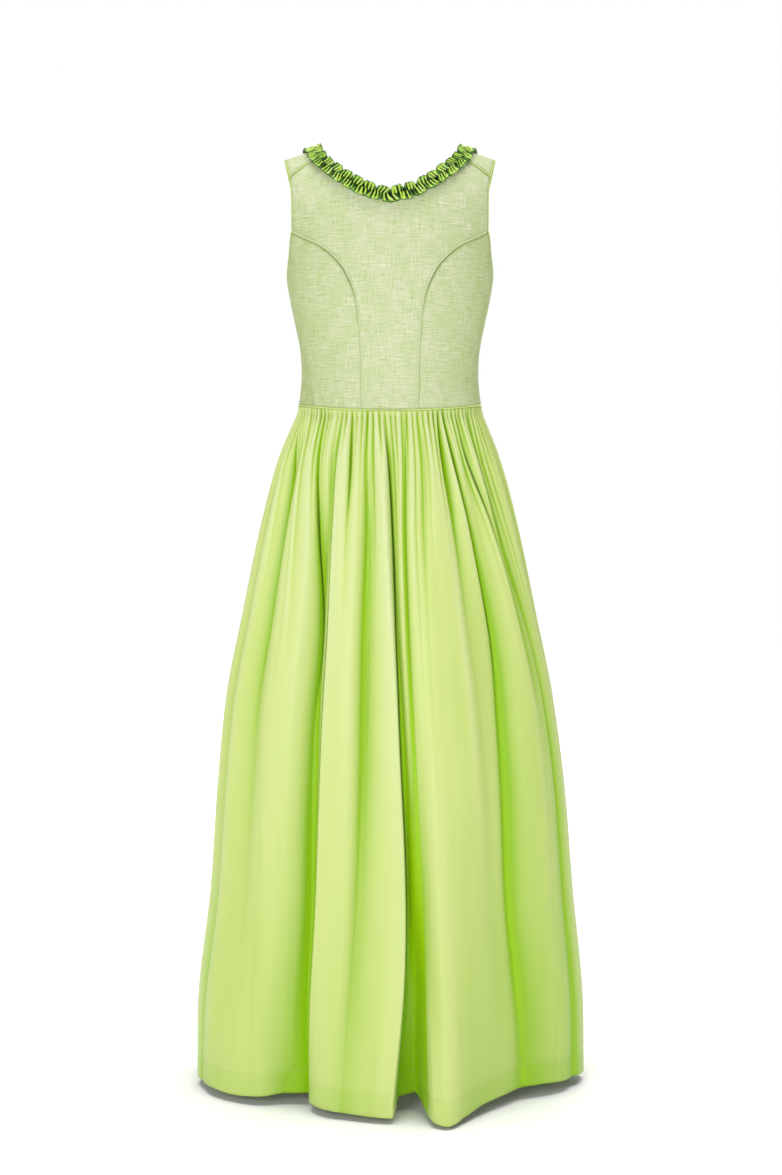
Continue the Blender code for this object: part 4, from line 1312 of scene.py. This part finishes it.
STITCH_LENGTH = 0.0029
STITCH_WIDTH = 0.0004
# Faces of a bar whose corners count its end, then its height, then its two sides
STITCH_FACES = ((0, 1, 3, 2), (4, 6, 7, 5), (0, 4, 5, 1), (2, 3, 7, 6), (0, 2, 6, 4), (1, 5, 7, 3))
HALF_COLUMNS = 576  # columns of each half of the skirt
PACKING = 0.115  # how much closer the columns lie next to a crease line


def fold_knots(height):
    """Angles, depths and lifts of the large folds at a height, in one full turn."""
    low_part = clamp((FOLD_HEIGHTS[1] - height) / (FOLD_HEIGHTS[1] - FOLD_HEIGHTS[3]))
    knots = []
    for row in FOLDS:
        places = tuple(zip(FOLD_HEIGHTS, row[:4]))
        depths = ((FOLDS_START, 0.0),) + tuple(zip(FOLD_HEIGHTS, row[4:8]))
        knots.append((ease(places, height), ease(depths, height), row[8] * low_part ** 2))
    knots.insert(0, (knots[-1][0] - 360, *knots[-1][1:]))
    knots.append((knots[1][0] + 360, *knots[1][1:]))
    return np.array(knots)


def round_curve(places, values, at, sharpness):
    """Values on a smooth ring of knots that never swings past them, with sharper valleys.

    The first and last knots repeat the ones at the other end, a full turn away.
    """
    index = np.clip(np.searchsorted(places, at, "right") - 1, 0, len(places) - 2)
    spans = np.diff(places)
    slopes = np.diff(values) / spans
    left = np.concatenate([[slopes[-2]], slopes])
    right = np.concatenate([slopes, [slopes[1]]])
    same = left * right > 0
    mean = np.where(same, 2 * left * right / np.where(same, left + right, 1.0), 0.0)
    valley = (left < 0) & (right > 0)
    leaving = np.where(valley, 1.5 * sharpness * right, mean)[index]
    arriving = np.where(valley, 1.5 * sharpness * left, mean)[index + 1]
    span = spans[index]
    part = (at - places[index]) / span
    return hermite(part, values[index], values[index + 1], span * leaving, span * arriving)


def fold_shift(knots, angles, sharpness):
    """Depth and lift of the large folds at some angles of one height."""
    turned = np.mod(angles - knots[0, 0], 360.0) + knots[0, 0]
    shift = round_curve(knots[:, 0], knots[:, 1], turned, sharpness)
    return shift, round_curve(knots[:, 0], knots[:, 2], turned, 0.0)


def line_value(values, height):
    return ease(tuple(zip(LINE_HEIGHTS, values)), height)


def reach_at(under_waist, at_hem, height):
    """A width in metres at a height, from its millimetres under the waist and at the hem."""
    down = clamp((SKIRT_TOP - height) / (SKIRT_TOP - HEM))
    return 0.001 * (under_waist * (1 - down) + at_hem * down)


class HalfSkirt:
    """The lines that one half of the skirt is laid out along."""

    def __init__(self, first, last):
        self.first, self.last = first, last
        self.lines = [line for line in CREASE_LINES if first < line[0][0] < last]
        places = [first] + [line[0][4] for line in self.lines] + [last]
        share = (np.array(places) - first) / (last - first)
        self.at = np.round(share * HALF_COLUMNS).astype(int)
        for index in range(1, len(self.at)):
            self.at[index] = max(self.at[index], self.at[index - 1] + 8)
        self.columns = np.arange(HALF_COLUMNS + 1)
        self.waist = self.angles(SKIRT_TOP)
        numbers = np.arange(math.ceil(first * GATHERS / 360), int(last * GATHERS / 360) + 1)
        self.numbers = numbers
        self.gathers = np.interp(numbers * 360 / GATHERS, self.waist, self.columns)

    def angles(self, height):
        """Angles of the columns at a height."""
        marks = [line_value(line[0], height) for line in self.lines]
        marks = np.array([self.first] + marks + [self.last])
        index = np.clip(np.searchsorted(self.at, self.columns, "right") - 1, 0, len(self.at) - 2)
        low, high = self.at[index], self.at[index + 1]
        part = (self.columns - low) / (high - low)
        part = part - PACKING * np.sin(2 * np.pi * part)
        return marks[index] + (marks[index + 1] - marks[index]) * part

    def run(self, scale, angles):
        """Distances round the body between the columns."""
        steps = np.diff(angles) * (scale[1:] + scale[:-1]) / 2
        return np.concatenate([[0.0], np.cumsum(steps)])


def crease_shift(half, angles, scale, height):
    """How far the crease lines push the cloth in, and their painted shade: a dark line along each
    and a greener band beside it.
    """
    total, dark, green = np.zeros((3, len(angles)))
    start = 0.3 + 0.7 * clamp((SKIRT_TOP - height) / LINE_START)
    for (_, depths, shades, top, low), column in zip(half.lines, half.at[1:-1]):
        depth = max(line_value(depths, height), 0.0) * 0.001 * start
        left, right = (reach_at(top[side], low[side], height) for side in (0, 1))
        off = (angles - angles[column]) * scale
        reach = np.where(off < 0, left, right)
        total += depth * np.exp(-np.abs(off / reach) ** 1.25)
        # painted shade: a dark line along the crease
        shade = 0.01 * max(line_value(shades, height), 0.0) * min(depth / LINE_FULL, 1.0)
        dark += shade * bell(off, LINE_WIDTH)
        # a band of greener painted shade beside every crease
        band = np.exp(-np.abs(off / (1.2 * reach)) ** 1.6)
        band = 0.30 * min(depth / GREEN_FULL, 1.0) * band
        green = np.maximum(green, band)
    return total, dark, green


def green_shade(half, angles, scale, height):
    """How much greener painted shade the bands beside the crease lines give the satin at a height.
    """
    total = np.zeros_like(angles)
    for number, side, widths, strengths in GREEN_BANDS:
        if CREASE_LINES[number] in half.lines:
            column = half.at[1 + half.lines.index(CREASE_LINES[number])]
            off = side * (angles - angles[column]) * scale
            reach = np.where(off < 0, GREEN_OTHER, reach_at(*widths, height))
            band = 0.01 * line_value(strengths, height) * np.exp(-np.abs(off / reach) ** 1.6)
            total = np.maximum(total, band)
    return total


def gather_shift(half, angles, scale, height, full_depth):
    """The small gathers: each has its own depth and length, and widens as it runs out; with a
    painted shade line along each.
    """
    below = max(SKIRT_TOP - height, 0.0)
    total, dark = np.zeros((2, len(angles)))
    if below > GATHER_END:
        return total, dark
    start = 0.30 + 0.70 * clamp(below / GATHER_START)
    sharp, soft = (width + growth * below for width, growth in (GATHER_SHARP, GATHER_SOFT))
    places = np.interp(half.gathers, half.columns, angles)
    for number, place in zip(half.numbers % GATHERS, places):
        length = GATHER_LENGTH[0] + GATHER_LENGTH[1] * chance(number + 211) ** 1.4
        depth = full_depth * (0.7 + 0.6 * chance(number)) * start * bell(below, length)
        if depth < 0.00002:  # too flat to see
            continue
        off = (angles - place) * scale
        if chance(number + 57) < 0.5:
            off = -off
        total += depth * np.exp(-np.abs(off / np.where(off < 0, sharp, soft)) ** 1.3)
        # painted shade line along the gather
        dark += depth / 0.009 * bell(off, GATHER_LINE)
    return total, dark


def sunken(depths, run, reach):
    """How far each point lies under the mean of its neighbours within a reach."""
    even = np.linspace(run[0], run[-1], 900)  # so that a reach is a number of places
    level = np.interp(even, run, depths)
    side = int(reach / (even[1] - even[0]))
    weights = np.hanning(2 * side + 3)
    padded = np.pad(level, side + 1, mode="edge")
    mean = np.convolve(padded, weights / weights.sum(), mode="valid")
    return np.interp(run, even, mean - level)


def skirt_heights():
    """Heights of the skirt's rows: close together under the waist and at the hem."""
    gathered, hemmed = -0.500, -1.318
    top = SKIRT_TOP - (SKIRT_TOP - gathered) * np.linspace(0, 1, 26) ** 1.25
    middle = np.linspace(gathered, hemmed, 45)[1:]
    return np.concatenate([top, middle, np.linspace(hemmed, HEM, 15)[1:]])


def body_ring(angles, height):
    """The skirt's body at a height: places, outward directions and metres to a degree."""
    turn = np.radians(angles)
    left, right, back, front = (ease(SKIRT_BODY, height, column) for column in (1, 2, 3, 4))
    half_width = np.where(np.sin(turn) < 0, left, right)
    depth = np.where(np.cos(turn) > 0, back, front)
    x, y = half_width * np.sin(turn), -depth * np.cos(turn)
    out = unit(np.stack([x / half_width ** 2, y / depth ** 2], axis=1))
    scale = math.radians(1.0) * np.hypot(half_width * np.cos(turn), depth * np.sin(turn))
    return np.stack([x, y], axis=1), out, scale


def skirt_row(half, height, sizes):
    """One row of the skirt: its points, its painted light and shade from highlight, 0, to deep
    shade, 1, and the painted shade of its crease lines.
    """
    angles = half.angles(height)
    places, out, scale = body_ring(angles, height)
    shift, rise = fold_shift(fold_knots(height), angles, sizes.crease_sharpness)
    deep, dark, green = crease_shift(half, angles, scale, height)
    green = np.maximum(green, green_shade(half, angles, scale, height))
    small, gather_shade_line = gather_shift(half, angles, scale, height, sizes.gather_depth)
    below = max(SKIRT_TOP - height, 0.0)
    soft = wave_sum(half.columns + 9.0 * height, STREAK_SEEDS) * sizes.streak_depth
    soft = soft * clamp(below / STREAK_START)
    groove = HEM_GROOVE[0] * bell(height - HEM - sizes.hem_width, HEM_GROOVE[1])
    moved = shift - deep - small + soft - groove + LOOSE
    if height > DIP_END:
        dip = np.array([waist_height((a + 180) % 360 - 180) for a in angles]) - WAIST_SIDE
        rise = rise + dip * (height - DIP_END) / (SKIRT_TOP - DIP_END)
    points = np.column_stack([places + out * moved[:, None], height + rise])

    # Painted shade in wide and narrow dips against their surroundings, and a painted highlight
    # where the cloth stands out; the narrow dips show most on top
    run = half.run(scale, angles)
    tight = math.exp(-below / TIGHT_END)
    wide = np.maximum(np.tanh(sunken(moved, run, WIDE_REACH) * 65.0), -0.30)
    near = np.tanh(sunken(moved, run, NEAR_REACH) * (74.0 + 300.0 * tight))
    near = np.maximum(near, -0.15 - 0.85 * tight)
    turn = np.sin(np.radians(angles))
    # painted shade: more towards the sides, a little more on one side than the other, and more
    # lower down
    even = 0.33 + 0.22 * below + 0.10 * turn ** 2 + 0.05 * turn
    # the hem band under its stitches is made a little greener
    even = even + 0.06 * clamp((HEM + sizes.hem_width - height) / 0.002)
    painted_shading = even + green + 0.60 * gather_shade_line + 0.36 * wide + 0.46 * near
    return points, np.clip(painted_shading, 0.0, 1.0), np.clip(dark + 0.35 * gather_shade_line, 0.0, 1.0)


def skirt_half(name, first, last, sizes, material):
    """Half of the skirt between two side seams, its columns flowing along the creases.

    Returns the piece, and the points and normals of the row where its hem is stitched.
    """
    half = HalfSkirt(first, last)
    heights = skirt_heights()
    rows = [skirt_row(half, height, sizes) for height in heights]
    outer, painted_shading, crease = (np.array(part) for part in zip(*rows))
    normals = grid_normals(outer)
    if (normals * outer * (1.0, 1.0, 0.0)).sum() < 0:
        normals = -normals
    across = (half.waist - (first + last) / 2) / 180.0 * SKIRT_CUT[0]
    down = np.linalg.norm(np.diff(outer, axis=0), axis=2).mean(axis=1)
    down = -np.concatenate([[0.0], np.cumsum(down)])
    cloth = np.dstack(np.meshgrid(across, down))
    values = {"painted_shading": painted_shading, "crease": crease}
    inner = outer - normals * SKIRT_WALL
    piece = cloth_object(name, outer, inner, cloth, material, values)
    row = int(np.argmin(np.abs(heights - HEM - sizes.hem_width)))
    return piece, outer[row], normals[row]


def hem_stitches(name, line, normals, material):
    """The sewn stitches of the hem, small bars along one row of the skirt, as one mesh."""
    run = np.concatenate([[0.0], np.cumsum(np.linalg.norm(np.diff(line, axis=0), axis=1))])
    starts = np.arange(0.004, run[-1] - 0.006, STITCH_PITCH)

    def on_row(table, at):
        return np.stack([np.interp(at, run, table[:, axis]) for axis in range(3)], axis=1)

    out = unit(on_row(normals, starts))
    corners = []
    for end in (on_row(line, starts), on_row(line, starts + STITCH_LENGTH)):
        for rise in (-STITCH_WIDTH / 2, STITCH_WIDTH / 2):
            for lift in (-STITCH_WIDTH / 2, STITCH_WIDTH * 0.8):
                corners.append(end + (0.0, 0.0, rise) + out * lift)
    verts = np.stack(corners, axis=1)
    faces = np.array(STITCH_FACES) + 8 * np.arange(len(starts))[:, None, None]
    mesh = bpy.data.meshes.new(name)
    mesh.from_pydata(verts.reshape(-1, 3).tolist(), [], faces.reshape(-1, 4).tolist())
    piece = add_object(name, mesh, material)
    face_outwards()
    return piece


# ------------------------------------------------------------------ operators
FLOOR_HEIGHT = -1.3905
FLOOR_RADIUS = 40.0
CAMERA_PLACE = (0.0015, -3.5889, -0.3585)
CAMERA_TILT = 85.5  # degrees from looking straight down
FILM_WIDTH = 36.0  # millimetres
FOCUS = 2400.0 / 782.0  # focal length for each unit of film width
TOP_LIGHT = 2.95
TOP_LIGHT_SPREAD = 50.0
WORLD_STRENGTH = 0.18
# Soft lights: name, place, aim, width and height, power in watts
LIGHTS = (
    ("key_light", (-1.3, -4.2, 0.5), (0.0, 0.0, -0.5), (1.4, 1.4), 60.0),
    ("fill_light", (1.9, -4.0, -0.4), (0.0, 0.0, -0.7), (1.4, 1.8), 11.0),
    ("back_light", (1.0, 4.2, 0.6), (0.0, 0.0, -0.6), (2.0, 2.0), 54.0),
    ("left_light", (-3.8, 0.9, 0.2), (0.0, 0.0, -0.6), (1.6, 2.0), 8.0),
    ("right_light", (3.8, 0.6, 0.2), (0.0, 0.0, -0.6), (1.6, 2.0), 6.0),
)


def add_light(kind, name, place, power):
    bpy.ops.object.light_add(type=kind, location=place)
    lamp = bpy.context.active_object
    lamp.name = name
    lamp.data.energy = power
    return lamp


def light_world(scene):
    """A plain white world, seen in full by the camera and dimmer by the cloth."""
    world = bpy.data.worlds.new("studio_light")
    scene.world = world
    world.use_nodes = True
    nodes, links = world.node_tree.nodes, world.node_tree.links
    background = nodes["Background"]
    background.inputs["Color"].default_value = (1.0, 1.0, 1.0, 1.0)
    strength = nodes.new("ShaderNodeMapRange")
    strength.inputs["To Min"].default_value = WORLD_STRENGTH
    strength.inputs["To Max"].default_value = 1.0
    seen = nodes.new("ShaderNodeLightPath").outputs["Is Camera Ray"]
    links.new(seen, strength.inputs["Value"])
    links.new(strength.outputs["Result"], background.inputs["Strength"])


class DIRNDL_OT_stage(bpy.types.Operator):
    """Adds the camera, the soft studio lights and the pale floor"""

    bl_idname = "dirndl.stage"
    bl_label = "Studio"

    def execute(self, context):
        colours = context.scene.dirndl_colours
        deselect_all()
        bpy.ops.mesh.primitive_circle_add(
            vertices=96, radius=FLOOR_RADIUS, fill_type="NGON", location=(0.0, 0.0, FLOOR_HEIGHT)
        )
        floor = context.active_object
        floor.name = "studio_floor"
        bpy.ops.object.transform_apply(location=True, rotation=True, scale=True)
        floor.data.materials.append(floor_paint("pale_floor", tuple(colours.floor)))
        tilt = (math.radians(CAMERA_TILT), 0.0, 0.0)
        bpy.ops.object.camera_add(location=CAMERA_PLACE, rotation=tilt)
        camera = context.active_object
        camera.name = "photo_camera"
        camera.data.sensor_fit = "HORIZONTAL"
        camera.data.sensor_width = FILM_WIDTH
        camera.data.lens = FILM_WIDTH * FOCUS
        context.scene.camera = camera
        top = add_light("SUN", "top_light", (0.0, 0.0, 3.0), TOP_LIGHT)
        top.data.angle = math.radians(TOP_LIGHT_SPREAD)
        for name, place, aim, size, power in LIGHTS:
            lamp = add_light("AREA", name, place, power)
            lamp.data.shape = "RECTANGLE"
            lamp.data.size, lamp.data.size_y = size
            way = Vector(aim) - Vector(place)
            lamp.rotation_euler = way.to_track_quat("-Z", "Y").to_euler()
        light_world(context.scene)
        context.scene.view_settings.view_transform = "Standard"
        return {"FINISHED"}


class DIRNDL_OT_bodice(bpy.types.Operator):
    """Adds the five linen panels of the bodice"""

    bl_idname = "dirndl.bodice"
    bl_label = "Bodice"

    def execute(self, context):
        for node, piece in build_bodice(context.scene.dirndl_colours).items():
            keep(piece, (node,))
        return {"FINISHED"}


class DIRNDL_OT_pipings(bpy.types.Operator):
    """Adds the bright cords and the raised strips along the back seams"""

    bl_idname = "dirndl.pipings"
    bl_label = "Pipings"

    def execute(self, context):
        colours = context.scene.dirndl_colours
        bright = covered_cord("bright_piping", tuple(colours.cord))
        linen = bpy.data.materials["slub_linen"]
        for word, side in SIDES:
            cord = armhole_cord("cord_armhole_" + word, side, bright)
            keep(cord, ("armhole_piping_" + word,))
            cord = shoulder_cord("cord_shoulder_" + word, side, bright)
            keep(cord, ("shoulder_piping_" + word,))
            strip = princess_strip("strip_princess_" + word, side, linen)
            keep(strip, ("princess_piping_" + word,))
        cord = waist_cord("cord_waist", bright)
        keep(cord, ("waist_piping",))
        for node, (width, length, area) in PANEL_CUTS.items():
            side = node.removeprefix("back_side_")
        return {"FINISHED"}


class DIRNDL_OT_ruche(bpy.types.Operator):
    """Adds the ruched ribbon round the neck"""

    bl_idname = "dirndl.ruche"
    bl_label = "Neck ribbon"

    def execute(self, context):
        scene = context.scene
        for node, (piece, length) in build_ruche(scene.dirndl_sizes, scene.dirndl_colours).items():
            keep(piece, (node,))
        return {"FINISHED"}


class DIRNDL_OT_skirt(bpy.types.Operator):
    """Adds the gathered satin skirt in its two halves"""

    bl_idname = "dirndl.skirt"
    bl_label = "Skirt"

    def execute(self, context):
        sizes, colours = context.scene.dirndl_sizes, context.scene.dirndl_colours
        cloth = satin("skirt_satin", tuple(colours.satin), tuple(colours.satin_painted_shade))
        thread = sewing_thread("hem_thread", tint(tuple(colours.satin), 0.8))
        for node, first, last in (("skirt_back", -90.0, 90.0), ("skirt_front", 90.0, 270.0)):
            piece, line, normals = skirt_half("satin_" + node, first, last, sizes, cloth)
            keep(piece, (node,))
            stitches = hem_stitches("hem_stitches_" + node[6:], line, normals, thread)
            keep(stitches, ())
        return {"FINISHED"}


class DIRNDL_PT_pieces(bpy.types.Panel):
    bl_label = "Dirndl"
    bl_idname = "DIRNDL_PT_pieces"
    bl_space_type = "VIEW_3D"
    bl_region_type = "UI"
    bl_category = "Dirndl"

    def draw(self, context):
        for group in (context.scene.dirndl_sizes, context.scene.dirndl_colours):
            for key in group.bl_rna.properties.keys():
                if key not in ("rna_type", "name"):
                    self.layout.prop(group, key)
        for operator in OPERATORS:
            self.layout.operator(operator.bl_idname)


OPERATORS = (
    DIRNDL_OT_stage,
    DIRNDL_OT_bodice,
    DIRNDL_OT_pipings,
    DIRNDL_OT_ruche,
    DIRNDL_OT_skirt,
)
CLASSES = (DirndlSizes, DirndlColours, DIRNDL_PT_pieces) + OPERATORS


def register():
    for cls in CLASSES:
        bpy.utils.register_class(cls)
    bpy.types.Scene.dirndl_sizes = bpy.props.PointerProperty(type=DirndlSizes)
    bpy.types.Scene.dirndl_colours = bpy.props.PointerProperty(type=DirndlColours)


def unregister():
    del bpy.types.Scene.dirndl_colours
    del bpy.types.Scene.dirndl_sizes
    for cls in reversed(CLASSES):
        bpy.utils.unregister_class(cls)


def main():
    register()
    bpy.ops.dirndl.stage()
    bpy.ops.dirndl.bodice()
    bpy.ops.dirndl.pipings()
    bpy.ops.dirndl.ruche()
    bpy.ops.dirndl.skirt()
    deselect_all()


if __name__ == "__main__":
    main()
